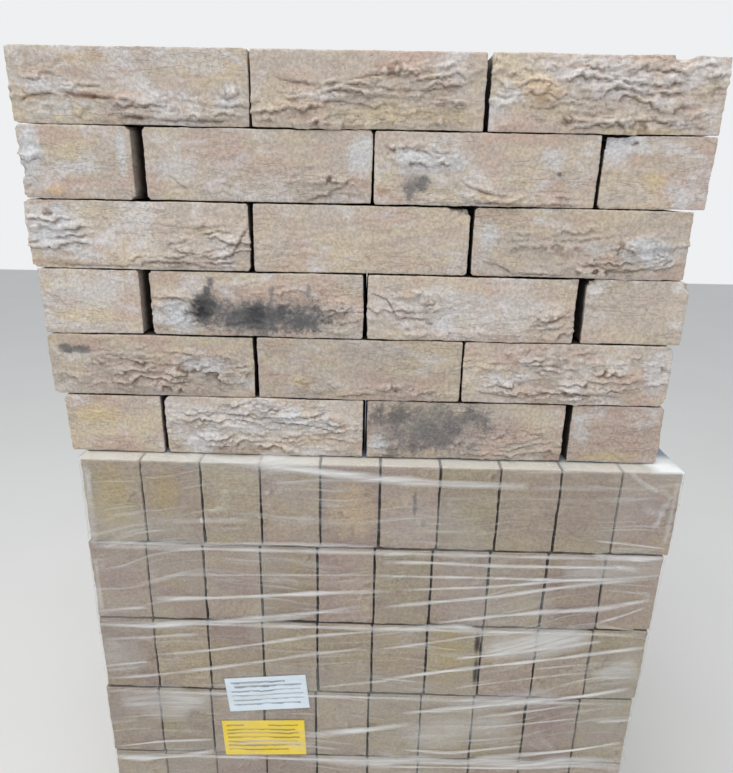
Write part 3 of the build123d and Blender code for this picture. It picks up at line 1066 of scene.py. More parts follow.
# the ends stand out or back by their reach, and belly out further behind the arris
def spreadEnds(points, size, reach, belly):
    across = points[:, 0] / size[0]
    deep = smooth(6, 30, points[:, 1]) * smooth(2, 16, size[1] - points[:, 1])
    left = (reach[0] + belly[0] * deep) * np.clip(1 - across * 2.0, 0, 1)
    right = (reach[1] + belly[1] * deep) * np.clip(across * 2.0 - 1, 0, 1)
    return right - left


def lumpRelief(along, up, spot, lumps):
    height = np.zeros(len(along))
    for middle, level, halfLength, halfHeight, rise in lumps:
        far = np.hypot((along - middle) / halfLength, (up - level) / halfHeight)
        far += mixedNoise(spot, form["lumpEdge"])
        height += rise * (1 - smooth(0.35, 1.0, far)) * (1 + mixedNoise(spot, form["lumpTop"]))
    return height


# the frog in the upper face of a brick on its bed, whichever way the brick lies
def frogTop(points, size, normal):
    up = np.clip(normal[:, 2], 0, 1)
    if size[0] > size[1]:
        hollow = frogDepth(points[:, 0], points[:, 1], size[0], size[1], frog)
    else:
        hollow = frogDepth(points[:, 1], points[:, 0], size[1], size[0], frog)
    return hollow * up


def stainOnFace(low, middle, level, halfLength, halfHeight, kind, strength, ragged):
    place = (low[0] + middle * 0.001, low[1], low[2] + level * 0.001)
    return place, (halfLength * 0.001, 0.05, halfHeight * 0.001), kind, strength, ragged


for i, (name, marks) in enumerate(faces.items()):
    panelBrick(name, marks, np.array([137.0 * i, 61.0 * i, 89.0 * i]))
print("panel bricks ready")


# Pack bricks: on edge in layers, one object for each layer

pack = {
    "brick": (65.2, 215.0, 103.6),
    "columnPitch": 65.5,
    "rows": 5,
    "rowPitch": 217.0,
    "frontStep": 3.0,
    "backStep": 5.5,
    "sideStep": 6.5,
    "rim": 3.0,
    "edge": 2.8,
    "bow": 0.7,
    "grain": 0.35,
    "folds": {"spacing": 17.0, "wander": (40.0, 40.0, 30.0)},
    "foldDepths": (0.5, 2.3),
    "tilts": (0.2, 1.3),
    "jitter": ((-0.1, 0.0, 0.0), (0.1, 1.4, 0.0)),  # each brick is moved a little, back rather than out
    "patch": 42.0,
    "patchEdge": (0.05, 0.5),
    "crumble": 0.35,
    "sunk": 0.6,          # how far the surface lies back, so that nothing stands out of the layer
    "creaseShadeShare": 0.7,
    "highlightShare": 0.6,
    # share of painted highlight along the edges
    "arris": 0.5,
    "topLines": (0, 1, 2, 3, 14, 28),
    "jointShade": 1.6,          # how soon the painted shade in a joint turns dark, and how much painted shade its rounded edges get
    "flankShade": 5.2,
    "flankShadeTurn": (0.71, 0.88),
    "topLayer": "layer_8",
    "topHighlight": 3.0,      # the tops in front of the panel get a painted highlight
    "topTurn": (0.6, 0.95),
    "voidLayer": "layer_3",  # the sides of the voids get no painted joint shade, nor do the bricks over and under them
    "byVoid": {"layer_2": (1, 2, 7, 8), "layer_4": (1, 2, 7, 8)},
    "seed": 5,
}

packClay = {
    **clay,
    "base": paint(162, 148, 134),
    "second": paint(168, 153, 130),
    "third": paint(156, 139, 130),
    "bloom": paint(184, 175, 166),
    "shares": (0.5, 0.45, 0.28),
    "variety": 0.08,
    "tint": 0.025,
    "crestHighlight": 0.3,
    "highlightColour": paint(224, 217, 205),
    "creaseShadeColour": paint(112, 94, 80),
    # colour of the painted shade deep in the pack's joints
    "jointShadeColour": paint(70, 58, 50),
    "mottle": 0.28,
    "bump": 0.6,
}

packFrog = {**frog, "corner": 1.0}

# stains, and a painted shadow in one wide joint, on the front of the pack: where in the picture, half sizes
# in mm, kind and strength
packStains = {
    "goldFirst": (112, 500, 27, 46, "olive", 0.9),
    "goldSecond": (165, 492, 22, 40, "olive", 0.7),
    "endBrick": (652, 510, 34, 50, "plum", 0.85),
    "pinkFirst": (120, 580, 28, 40, "plum", 0.4),
    "smudge": (188, 466, 6, 3.5, "smoke", 0.9),
    "chip": (201, 521, 2.6, 6, "pale", 0.9),
    "crack": (415, 506, 2.6, 22, "burn", 0.9),
    "crackEnd": (424, 524, 4, 7, "burn", 0.7),
    "spot": (637, 499, 2.6, 2.6, "burn", 0.8),
    "spotBelow": (515, 735, 6, 3, "rust", 0.8),
    # painted shadow in a wide joint where a brick's end falls short
    "wideJoint": (477.5, 643, 5.0, 22, "shadow", 1.0),
    "wideJointEnd": (475.5, 672, 4.2, 28, "shadow", 1.0),
    "goldThird": (448, 650, 22, 40, "olive", 0.6),
    "goldFifth": (352, 510, 34, 46, "gold", 0.5),
    "plumSecond": (590, 514, 60, 46, "plum", 0.5),
}


# where the ray through a point of the picture meets the front of the pack, in metres
def onFront(x, y):
    camera = bpy.context.scene.camera
    sight = Vector(((x - picture["width"] / 2) / view["focal"],
                    (picture["height"] / 2 - y) / view["focal"], -1))
    ray = camera.matrix_world.to_3x3() @ sight
    start = camera.matrix_world.translation
    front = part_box("layer_8")[0][1]
    return start + ray * ((front - start[1]) / ray[1])


def packStain(x, y, halfLength, halfHeight, kind, strength):
    ragged = 0.12 if kind == "shadow" else 0.5
    return onFront(x, y), (halfLength * 0.001, 0.05, halfHeight * 0.001), kind, strength, ragged


# the grid of a pack brick: fine on the sides that show, and one face on each of the others
def packGrid(sides):
    size = pack["brick"]
    step = pack["sideStep"]
    if "back" in sides:
        step = pack["backStep"]
    if "front" in sides:
        step = pack["frontStep"]
    ends = "front" in sides or "back" in sides
    beds = "left" in sides or "right" in sides
    lines = [np.array([0, size[0]]), np.array([0, size[1]]), np.array([0, size[2]])]
    if ends:
        lines[0] = gridLines(size[0], step, pack["rim"])
    if "top" in sides:
        lines[1] = np.array([*pack["topLines"], size[1]])
    if beds:
        lines[1] = gridLines(size[1], pack["sideStep"], pack["rim"])
    if ends or beds:
        lines[2] = gridLines(size[2], step, pack["rim"])
    plain = {"left", "right", "front", "back", "bottom", "top"} - set(sides)
    return gridBox(lines, plain if sides else ())


# one brick of the pack; a brick with no side showing is a plain box
def packBrick(place, sides, rng, bare):
    size = pack["brick"]
    points, quads = packGrid(sides)
    spot = points + rng.uniform(0, 500, 3)
    tone = rng.uniform(-1, 1)
    jitter = rng.uniform(*pack["jitter"])
    if not sides:
        plainMasks = {key: np.zeros(len(points)) for key in ("creaseShade", "crestHighlight", "joint", "tone")}
        return points + place, quads, plainMasks, spot
    depths = {"left": points[:, 0], "right": size[0] - points[:, 0],
              "front": points[:, 1], "back": size[1] - points[:, 1], "top": size[2] - points[:, 2]}
    depth = np.min([depths[side] for side in sides], axis=0)
    points, normal, relief, arris = brickForm(points, size, spot, pack)
    shown = ("left" in sides or "right" in sides, "front" in sides or "back" in sides, "top" in sides)
    outward = np.linalg.norm(normal * shown, axis=1)
    # painted shade in the joints: deeper in, and on the rounded edges that turn away from the open sides
    joint = np.maximum(pack["jointShade"] * depth, pack["flankShade"] * (1 - smooth(*pack["flankShadeTurn"], outward)))
    tilt = rng.uniform(*pack["tilts"])
    folds = {**pack["folds"], "tilt": tilt, "depth": rng.uniform(*pack["foldDepths"])}
    rise, creaseShade, crestHighlight = foldRelief(points[:, 0], points[:, 2], spot, folds)
    patch = smooth(*pack["patchEdge"], noise(spot, pack["patch"]))
    ahead = np.clip(np.abs(normal[:, 1]), 0, 1)
    # painted highlight on the top faces
    above = pack["topHighlight"] * smooth(*pack["topTurn"], normal[:, 2]) * ("top" in sides)
    crumbs = pack["crumble"] * crumbleRelief(spot)
    relief = np.minimum(relief - pack["sunk"] + rise * patch * ahead + crumbs, 0)
    hollow = frogDepth(points[:, 1], points[:, 2], size[1], size[2], packFrog)
    if "right" in sides:
        relief -= hollow * np.clip(normal[:, 0], 0, 1)
    points = points + normal * relief[:, None] + place + jitter
    # painted highlight on fold crests and along the edges
    pale = crestHighlight * patch * ahead * pack["highlightShare"] + pack["arris"] * arris
    masks = {
        "creaseShade": creaseShade * patch * ahead * pack["creaseShadeShare"],
        "crestHighlight": np.maximum(np.clip(pale, 0, 1), above),
        "joint": joint * (not bare),
        "tone": np.full(len(points), tone),
    }
    return points, quads, masks, spot


def packLayer(name, rng):
    low, high = (np.array(corner) * 1000 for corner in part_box(name))
    columns = round((high[0] - low[0]) / pack["columnPitch"])
    parts = []
    for column, row in itertools.product(range(columns), range(pack["rows"])):
        sides = [side for side, shown in {
            "left": column == 0,
            "right": column == columns - 1,
            "front": row == 0,
            "back": row == pack["rows"] - 1,
            "top": row == 0 and name == pack["topLayer"],
        }.items() if shown]
        place = low + (column * pack["columnPitch"], row * pack["rowPitch"], 0)
        # bare bricks get no painted joint shade
        bare = name.startswith(pack["voidLayer"]) or column in pack["byVoid"].get(name, ())
        parts.append(packBrick(place, sides, rng, bare))
    points = np.concatenate([part[0] for part in parts])
    spots = np.concatenate([part[3] for part in parts])
    masks = {key: np.concatenate([part[2][key] for part in parts]) for key in parts[0][2]}
    quads, start = [], 0
    for part in parts:
        quads += [[corner + start for corner in quad] for quad in part[1]]
        start += len(part[0])
    layer = addMesh(name + "_bricks", points, quads, masks, spots - points)
    layer.data.materials.append(packMaterial)
    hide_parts(name)
    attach(layer, "root")


packMaterial = brickMaterial("pack_clay", packClay, [
    packStain(*stain) for stain in packStains.values()])
packRandom = np.random.default_rng(pack["seed"])
for name in sorted(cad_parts):
    if name.startswith("layer_"):
        packLayer(name, packRandom)
print("pack layers ready")


# Stretch film round the pack, its hem and the flat sheet under it

film = {
    "step": 10.0,         # mm between points across and up
    "rise": 8.0,
    "hem": 40.0,
    "hemRows": 8,
    "bend": ((0.4, 1.2), (1.4, 0.3)),  # how it turns over the edge: inset and drop
    "round": 0.9,         # corners cut back by this much
    "slack": 1.4,         # how far it stands off the layers at the sides
    "taut": 150.0,        # how far up and down it is drawn smooth
    "wave": 1.0,          # flutter of the walls, and its size
    "waveSize": 70.0,
    "hemWave": 1.2,       # ripples of the hem, their size, and how far from the front they go
    "hemWaveSize": 45.0,
    "hemWaveReach": 17.0,
    "slitInset": 6.0,
    "leftHem": 0.8,       # how white the hem is on each side, partly painted highlight
    "rightHem": 0.12,
    "backHem": 1.0,
    "frontHem": 0.44,
    "corner": 34.0,       # the front right corner stays white, partly with painted highlight
    "hemNoise": (30, 30, 12),
    "haze": (0.13, 0.03),  # how much more in its clouds, and how much between them
    "cloud": (7.0, 4.0),
    "cloudEdge": (0.46, 0.68),
    "hemHazeAndSheen": 0.9,
    "fineHazeAndSheen": 0.3,
    "fineEdge": (0.54, 0.74),
    "broadHazeAndSheen": 0.32,
    "broadEdge": (0.56, 0.76),
    "strandHazeAndSheen": (0.4, 0.56),
    "strandEdge": (0.32, 0.62),
    # wrinkles in the film: how many noise cells a metre along it and up it
    "fine": {"Across": 9.0, "Upward": 190.0},
    "broad": {"Across": 4.0, "Upward": 70.0},
    "strand": {"Across": 10.0, "Upward": 170.0},
    "clear": paint(228, 229, 226),
    "foldedAndSheen": paint(248, 252, 253),
    # white of bunched film, partly painted reflection
    "bunchedSheen": paint(244, 244, 244),
}


# how far the layers reach to the left and right at each height, drawn out smooth as taut film is
def packReach(heights):
    boxes = [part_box(name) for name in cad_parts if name.startswith("layer_")]
    middles = np.array([500 * (low[2] + high[2]) for low, high in boxes])
    lefts = np.array([1000 * low[0] for low, high in boxes])
    rights = np.array([1000 * high[0] for low, high in boxes])
    sameLayer = np.abs(middles[:, None] - middles[None]) < 1
    lefts = np.array([lefts[same].min() for same in sameLayer])
    rights = np.array([rights[same].max() for same in sameLayer])
    near = np.clip(1 - np.abs(heights[:, None] - middles) / film["taut"], 0.001, 1) ** 2
    near /= near.sum(1)[:, None]
    return near @ lefts - film["slack"], near @ rights + film["slack"]


# the voids for the forks, as left and right edges and their bottom and top
def voidEdges():
    left, middle, right = (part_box("layer_3_" + part) for part in ("left", "middle", "right"))
    gaps = [(left[1][0], middle[0][0]), (middle[1][0], right[0][0])]
    inset = film["slitInset"]
    edges = [(a * 1000 + inset, b * 1000 - inset) for a, b in gaps]
    return edges, left[0][2] * 1000 + inset, left[1][2] * 1000 - inset


def makeSleeve():
    low, high = (np.array(corner) * 1000 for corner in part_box("stretch_film"))
    slits, slitLow, slitHigh = voidEdges()
    top = high[2]
    heights = np.linspace(low[2], top - 2.5, round((top - low[2]) / film["rise"]))
    heights = np.unique(np.concatenate([heights, [slitLow, slitHigh]]))
    loop, run = filmLoop(low, high, slits)
    lefts, rights = packReach(heights)
    share = (loop[:, 0] - low[0]) / (high[0] - low[0])
    wall = []
    for z, left, right in zip(heights, lefts, rights):
        x = left + share * (right - left)
        level = np.full(len(x), z)
        place = np.stack([x, loop[:, 1], level, run, level], -1)
        flutter = noise(np.stack([run, level * 4.0, np.zeros(len(x))], -1), film["waveSize"])
        place[:, :2] += loop[:, 2:] * (film["wave"] * np.clip(flutter, -0.4, 1))[:, None]
        wall.append(place)
    rim = wall[-1]
    for inset, drop in film["bend"]:
        over = rim.copy()
        over[:, :2] -= loop[:, 2:] * inset
        over[:, 2] = top - drop
        over[:, 4] = top - drop
        wall.append(over)
    for inset in np.linspace(4, film["hem"], film["hemRows"]):
        over = rim.copy()
        over[:, 0] = np.clip(over[:, 0], low[0] + inset, high[0] - inset)
        over[:, 1] = np.clip(over[:, 1], low[1] + inset, high[1] - inset)
        across = np.stack([run, np.full(len(run), inset * 3), np.zeros(len(run))], -1)
        wave = noise(across, film["hemWaveSize"])
        bare = over[:, 1] - low[1] < film["hemWaveReach"]
        over[:, 2] = top - 0.25 + np.where(bare, film["hemWave"] * np.clip(wave, 0, 1), 0)
        over[:, 4] = top + inset
        wall.append(over)
    wall = np.array(wall)
    points = wall.reshape(-1, 5)
    ids = np.arange(len(points)).reshape(wall.shape[:2])
    after = np.roll(ids, -1, axis=1)
    quads = np.stack([ids[:-1], after[:-1], after[1:], ids[1:]], -1).reshape(-1, 4)
    middle = points[quads].mean(1)
    cut = np.zeros(len(quads), bool)
    for left, right in slits:
        inside = (middle[:, 0] > left) & (middle[:, 0] < right) & (np.abs(middle[:, 1]) > high[1] - 5)
        cut |= inside & (middle[:, 2] > slitLow) & (middle[:, 2] < slitHigh)
    masks = {"hem": hemMask(points, low, high)}
    sleeve = addMesh("film_sleeve", points[:, :3], quads[~cut].tolist(), masks)
    sleeve.data.materials.append(filmMaterial())
    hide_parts("stretch_film")
    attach(sleeve, "root")
    folds = makeFolds(low, high, slitLow, slitHigh)


# once round the pack, as x, y and the way out, and how far along it each point is
def filmLoop(low, high, slits):
    xs = np.linspace(low[0] + 3, high[0] - 3, round((high[0] - low[0]) / film["step"]))
    xs = np.unique(np.concatenate([xs, np.array(slits).ravel()]))
    ys = np.linspace(low[1] + 3, high[1] - 3, round((high[1] - low[1]) / film["step"] / 1.5))
    cut = film["round"]
    loop = np.concatenate([
        [(x, low[1], 0, -1) for x in xs],
        [(high[0] - cut, low[1] + cut, 0.7, -0.7)],
        [(high[0], y, 1, 0) for y in ys],
        [(high[0] - cut, high[1] - cut, 0.7, 0.7)],
        [(x, high[1], 0, 1) for x in xs[::-1]],
        [(low[0] + cut, high[1] - cut, -0.7, 0.7)],
        [(low[0], y, -1, 0) for y in ys[::-1]],
        [(low[0] + cut, low[1] + cut, -0.7, -0.7)],
    ])
    run = np.concatenate([[0], np.cumsum(np.hypot(*np.diff(loop[:, :2], axis=0).T))])
    return loop, run


# how white the hem is, folded film partly with painted highlight: clearer along the front, where the tops of
# the bricks are seen through it
def hemMask(points, low, high):
    level = points[:, 4] - high[2]
    white = np.where(points[:, 0] < 0, film["leftHem"], film["rightHem"])
    white = np.where(np.abs(points[:, 1]) > high[1] - film["hem"] - 1, film["backHem"], white)
    front = points[:, 1] < low[1] + film["hem"] + 1
    clear = front & (points[:, 0] < high[0] - film["corner"])
    white = np.where(clear, film["frontHem"], white)
    return smooth(-3.5, 1.5, level) * white * (0.8 + 0.4 * noise(points[:, :3], film["hemNoise"]))


# clear film: a faint haze with fine level wrinkles whitened by a painted reflection, whiter where it is
# folded over the top, partly as painted highlight
def filmMaterial():
    look, tree, shader = newMaterial("clear_film")
    height = useGroup(tree, filmWrinkle, film["fine"])["Height"]
    broad = useGroup(tree, filmWrinkle, film["broad"])["Height"]
    fine = mathNode(tree, "MULTIPLY", rampBetween(tree, height, *film["fineEdge"]), film["fineHazeAndSheen"])
    wide = mathNode(tree, "MULTIPLY", rampBetween(tree, broad, *film["broadEdge"]), film["broadHazeAndSheen"])
    hem = attributeNode(tree, "hem")
    cloud = noiseNode(tree, objectPlace(tree), *film["cloud"], distortion=0.5)
    thin = linearNode(tree, rampBetween(tree, cloud, *film["cloudEdge"]), *film["haze"])
    haze = linearNode(tree, hem, film["hemHazeAndSheen"], thin)
    both = mathNode(tree, "ADD", broad, mathNode(tree, "MULTIPLY", height, 0.5))
    feedShader(tree, shader, {
        # hem white is folded film with a painted highlight; wrinkle whiteness in the alpha is painted
        # reflection
        "Base Color": mixColour(tree, hem, film["clear"], film["foldedAndSheen"]),
        "Roughness": linearNode(tree, broad, 0.3, 0.16),
        "Alpha": mathNode(tree, "ADD", mathNode(tree, "ADD", fine, wide), haze, True),
        "Normal": bumpNode(tree, both, 0.6, 0.003),
    })
    return look


# bunched folds: whiter film with a painted reflection along the middle, fading to clear at their edges and
# ends
def foldSheenMaterial():
    look, tree, shader = newMaterial("bunched_film")
    strand = useGroup(tree, filmWrinkle, film["strand"])["Height"]
    broken = linearNode(tree, rampBetween(tree, strand, *film["strandEdge"]), *film["strandHazeAndSheen"])
    shader.inputs["Base Color"].default_value = (*film["bunchedSheen"], 1)
    feedShader(tree, shader, {
        "Roughness": linearNode(tree, strand, 0.3, 0.14),
        "Alpha": mathNode(tree, "MULTIPLY", attributeNode(tree, "fade"), broken, True),
        "Normal": bumpNode(tree, strand, 0.7, 0.002),
    })
    return look


# wrinkles drawn out sideways, with a slow slope that wanders
def filmWrinkleGroup():
    inputs = {"Across": (number, 9.0), "Upward": (number, 190.0)}
    tree, given, out = newGroup("filmWrinkle", inputs, {"Height": number})
    place = objectPlace(tree)
    parts = addNode(tree, "ShaderNodeSeparateXYZ", {"Vector": place}).outputs
    climb = mathNode(tree, "MULTIPLY", parts["X"], -0.05)
    slope = linearNode(tree, noiseNode(tree, place, 3.0, 2.0), 0.12, climb)
    lift = addNode(tree, "ShaderNodeCombineXYZ", {"Z": slope})
    bent = vectorNode(tree, "ADD", place, lift.outputs[0])
    sizes = {"X": given["Across"], "Y": given["Across"], "Z": given["Upward"]}
    scale = addNode(tree, "ShaderNodeCombineXYZ", sizes)
    drawn = vectorNode(tree, "MULTIPLY", bent, scale.outputs[0])
    tree.links.new(noiseNode(tree, drawn, 1.0, 3.0, 0.6), out["Height"])
    return tree


filmWrinkle = filmWrinkleGroup()

# bunched folds on the front, whiter film with a painted reflection: width in mm, strength, and the points of
# the picture they run through
bunches = {
    "topBand": (6, 1.0, [(203, 457), (262, 464), (323, 472), (390, 479), (437, 483), (502, 485), (530, 486)]),
    "topWhite": (13, 0.8, [(258, 460), (292, 464), (324, 469)]),
    "joint12Left": (3, 0.75, [(86, 540), (143, 542), (203, 543), (290, 543), (376, 546)]),
    "joint12Tip": (2, 0.6, [(103, 547), (125, 541)]),
    "level2": (2, 0.45, [(158, 574), (250, 574), (390, 574)]),
    "rise2": (4, 0.85, [(152, 598), (213, 597), (323, 592), (392, 590)]),
    "left2": (2.5, 0.7, [(96, 610), (122, 608), (150, 606)]),
    "low2": (3.5, 0.7, [(203, 622), (264, 616), (323, 611), (368, 604)]),
    "upper2": (3, 0.9, [(380, 561), (437, 562), (494, 565), (551, 566), (626, 567)]),
    "second2": (2.5, 0.8, [(380, 575), (492, 577), (549, 579), (604, 579), (662, 574)]),
    "third2": (2.5, 0.7, [(400, 589), (490, 586), (549, 581), (612, 577)]),
    "fourth2": (3, 0.75, [(380, 606), (435, 601), (494, 596), (549, 588), (610, 581), (655, 577)]),
    "fifth2": (4, 0.8, [(435, 622), (488, 616), (543, 611), (600, 608), (653, 598)]),
    "sixth2": (2.5, 0.7, [(596, 622), (622, 615), (645, 606)]),
    "joint12Right": (4.5, 1.0, [(590, 554), (611, 556), (640, 558), (666, 557)]),
    "spark2": (3.5, 0.8, [(611, 566), (640, 569)]),
    "under1": (2, 0.6, [(594, 540), (625, 543), (666, 548)]),
    "joint23": (4.5, 0.9, [(96, 623), (148, 625), (203, 621), (258, 620), (315, 614)]),
    "upper3": (2.5, 0.5, [(100, 638), (150, 636), (203, 633)]),
    "second3": (3, 0.7, [(150, 654), (203, 650), (258, 643), (311, 635), (392, 629)]),
    "left3": (2, 0.6, [(103, 665), (152, 660)]),
    "third3": (3, 0.75, [(107, 677), (152, 674), (203, 668), (258, 661), (311, 653), (366, 647)]),
    "joint23Right": (5, 0.9, [(378, 628), (421, 627), (450, 625), (476, 627)]),
    "fourth3": (2.5, 0.6, [(380, 648), (421, 643), (474, 635), (535, 630)]),
    "fifth3": (3.5, 0.95, [(453, 658), (535, 649), (603, 640)]),
    "sixth3": (3.5, 0.95, [(380, 679), (421, 673), (486, 665), (535, 660), (592, 653), (646, 646)]),
    "seventh3": (2, 0.5, [(449, 688), (474, 684), (531, 677), (586, 671)]),
    "eighth3": (2, 0.6, [(535, 668), (586, 663)]),
    "joint34": (4, 0.9, [(400, 712), (474, 706), (529, 700), (584, 695), (630, 687)]),
    "joint34Left": (2.5, 0.55, [(319, 686), (350, 683), (392, 679)]),
    "upper4": (2.5, 0.6, [(478, 716), (530, 710), (578, 703)]),
    "bright4": (5, 0.9, [(300, 735), (330, 732), (372, 728), (411, 722)]),
    "left4": (2.5, 0.7, [(119, 745), (160, 740), (215, 738)]),
    "second4": (2.5, 0.6, [(472, 727), (530, 722), (578, 717)]),
    "third4": (2.5, 0.7, [(594, 721), (630, 719)]),
    "fourth4": (3, 0.7, [(400, 748), (449, 752), (523, 744)]),
    "joint45Left": (6, 1.0, [(115, 755), (145, 757), (180, 755), (217, 749)]),
    "joint45Right": (4, 0.9, [(470, 758), (502, 755), (572, 749), (622, 741)]),
    "band45": (11, 0.75, [(300, 757), (380, 761), (419, 757), (470, 761), (523, 763), (575, 760),
                          (621, 762)]),
    "band45Edge": (2.5, 0.9, [(380, 765), (440, 766), (523, 767), (600, 763)]),
    "cornerLeft": (4.5, 0.45, [(87, 462), (90, 490), (93, 520), (96, 545)]),
    "haze2": (26, 0.4, [(560, 572), (610, 570), (664, 566)]),
    "haze3": (24, 0.7, [(480, 650), (535, 643), (592, 634)]),
    "haze3Low": (18, 0.5, [(590, 674), (620, 670), (638, 665)]),
    "haze3Left": (24, 0.3, [(102, 650), (125, 656), (150, 662)]),
    "haze34": (16, 0.45, [(440, 706), (500, 700), (560, 694)]),
    "haze4": (22, 0.35, [(400, 736), (450, 729), (520, 719)]),
    "haze4Left": (22, 0.62, [(120, 700), (160, 702), (215, 700)]),
    "crinkle1": (3, 0.4, [(628, 470), (640, 482), (660, 492)]),
    "crinkle2": (7, 0.25, [(669, 498), (660, 512), (652, 530)]),
    "crinkle3": (3, 0.35, [(676, 488), (668, 500), (660, 512), (655, 528)]),
    "crinkle4": (4, 0.3, [(655, 485), (664, 491), (674, 501)]),
    "crinkle5": (6, 0.3, [(640, 506), (652, 512), (668, 516)]),
    "edgeLeft": (3.5, 0.35, [(96, 556), (99, 580), (103, 612)]),
    "edgeRight": (3.5, 0.35, [(678, 477), (671, 510), (663, 546)]),
    "level1": (5, 0.3, [(160, 520), (200, 520), (256, 519)]),
}

bunchLook = {
    "spread": 2.6,
    # how white a fold is, partly painted reflection
    "white": 0.92,
    "step": 6.6,          # mm between points along a fold
    "standOff": 2.0,      # how far in front of the bricks
    # across a fold: place, height in mm and whiteness, which is partly painted reflection
    "profile": ((-0.5, 0, 0), (-0.2, 0.35, 0.8), (0.05, 0.6, 1), (0.25, 0.3, 0.6), (0.5, 0, 0)),
}

# painted reflection on the film drawn over the step under each layer joint: width in mm, how far under the
# joint, strength
ledgeSheen = {"width": 9.0, "under": 3.5, "strength": 0.6}

# folds with painted reflection on the other sides: how many, and how far each runs
otherFolds = {
    "count": 40,
    "seed": 8,
    "run": (120, 560),
    "rise": (-0.10, 0.10),
    "bow": (-8, 8),
    "width": (2, 6),
    "strength": (0.4, 0.9),
    "standOff": 1.2,
    "underVoids": 0.2,    # share of the folds that lie under the voids
}


# a ribbon on the film, its middle standing out a little; salt makes each one's noise its own
def ribbon(path, outward, width, strength, salt):
    path = np.array(path)
    lengths = np.concatenate([[0], np.cumsum(np.linalg.norm(np.diff(path, axis=0), axis=1))])
    at = np.linspace(0, lengths[-1], max(4, round(lengths[-1] / bunchLook["step"])))
    line = np.stack([np.interp(at, lengths, path[:, i]) for i in range(3)], -1)
    kernel = np.array([0.25, 0.5, 0.25])
    for repeat in range(3):
        line[1:-1] = np.stack([np.convolve(line[:, i], kernel, "valid") for i in range(3)], -1)
    ahead = np.gradient(line, axis=0)
    ahead /= np.linalg.norm(ahead, axis=1)[:, None]
    across = np.cross(ahead, outward)
    share = at / lengths[-1]
    swell = 0.75 + 0.5 * noise(line + salt, 38.0)
    ends = np.sqrt(np.clip(share * 6, 0, 1) * np.clip((1 - share) * 6, 0, 1))
    ends = ends * np.clip(0.85 + 0.5 * noise(line + salt + 90, 55.0), 0.2, 1)
    points, fades = [], []
    for offset, lift, fade in bunchLook["profile"]:
        points.append(line + across * (offset * width * swell)[:, None] + outward * lift)
        fades.append(fade * ends * strength)
    points, fades = np.stack(points, 1), np.stack(fades, 1)
    ids = np.arange(fades.size).reshape(fades.shape)
    quads = np.stack([ids[:-1, :-1], ids[1:, :-1], ids[1:, 1:], ids[:-1, 1:]], -1).reshape(-1, 4)
    return points.reshape(-1, 3), quads, fades.ravel()


def makeFolds(low, high, slitLow, slitHigh):
    off = otherFolds["standOff"]
    front = ((0, low[1] - off), (0, -1), (low[0], high[0]))
    sides = [
        ((low[0] - off, 0), (-1, 0), (low[1], high[1])),
        ((high[0] + off, 0), (1, 0), (low[1], high[1])),
        ((0, high[1] + off), (0, 1), (low[0], high[0])),
    ]
    ribbons = frontFolds()
    ribbons += [fold for side in [front] + sides for fold in ledgeFolds(side, slitLow, slitHigh)]
    rng = np.random.default_rng(otherFolds["seed"])
    for side in sides:
        ribbons += sideFolds(side, (low[2], slitLow, slitHigh, high[2]), rng)
    quads, start = [], 0
    for made in ribbons:
        quads += (made[1] + start).tolist()
        start += len(made[0])
    points = np.concatenate([made[0] for made in ribbons])
    fades = np.concatenate([made[2] for made in ribbons])
    folds = addMesh("film_fold_sheens", points, quads, {"fade": fades})
    folds.data.materials.append(foldSheenMaterial())
    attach(folds, "root")
    return folds


# the folds seen in the picture, with their painted reflection
def frontFolds():
    made = []
    for i, (width, strength, dots) in enumerate(bunches.values()):
        path = [np.array(onFront(*dot)) * 1000 + (0, -bunchLook["standOff"], 0) for dot in dots]
        wide = width * bunchLook["spread"]
        white = strength * bunchLook["white"]
        made.append(ribbon(path, np.array([0, -1.0, 0]), wide, white, i * 40))
    return made


# film over the steps from layer to layer, with a painted reflection, apart from those at the voids
def ledgeFolds(side, slitLow, slitHigh):
    (x, y), (outX, outY), (start, end) = side
    layers = [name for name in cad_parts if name.startswith("layer_")]
    tops = sorted({round(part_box(name)[1][2] * 1000, 1) for name in layers})
    clear = [top for top in tops[:-1] if not slitLow - 20 < top < slitHigh + 20]
    made = []
    for i, top in enumerate(clear):
        level = top - ledgeSheen["under"]
        at = [start + 8 + share * (end - start - 16) for share in (0, 0.35, 0.7, 1)]
        path = [(x, place, level) if outX else (place, y, level) for place in at]
        outward = np.array([outX, outY, 0.0])
        made.append(ribbon(path, outward, ledgeSheen["width"], ledgeSheen["strength"], i * 70 + 10))
    return made


# loose folds over one side, with painted reflection, made up in the manner of the front
def sideFolds(side, levels, rng):
    (x, y), (outX, outY), (start, end) = side
    foot, slitLow, slitHigh, top = levels
    spans = [(foot + 20, slitLow - 30), (slitHigh + 30, top - 40)]
    chances = (otherFolds["underVoids"], 1 - otherFolds["underVoids"])
    made = []
    for i in range(otherFolds["count"]):
        run = min(rng.uniform(*otherFolds["run"]), end - start - 30)
        first = rng.uniform(start + 10, end - run - 10)
        z = rng.uniform(*rng.choice(spans, p=chances))
        rise = rng.uniform(*otherFolds["rise"]) * run
        rise = rise if z > slitHigh + 100 else 0.0
        bow = rng.uniform(*otherFolds["bow"])
        path = []
        for share in (0, 0.3, 0.6, 1):
            place = first + share * run
            height = z + rise * share + bow * share * (1 - share)
            height = min(max(height, foot + 6), top - 8)
            path.append((x, place, height) if outX else (place, y, height))
        outward = np.array([outX, outY, 0.0])
        width = rng.uniform(*otherFolds["width"])
        made.append(ribbon(path, outward, width, rng.uniform(*otherFolds["strength"]), i * 60))
    return made


makeSleeve()
print("film ready")


# Sheet of blue polythene on the pack, under the hem and the panel

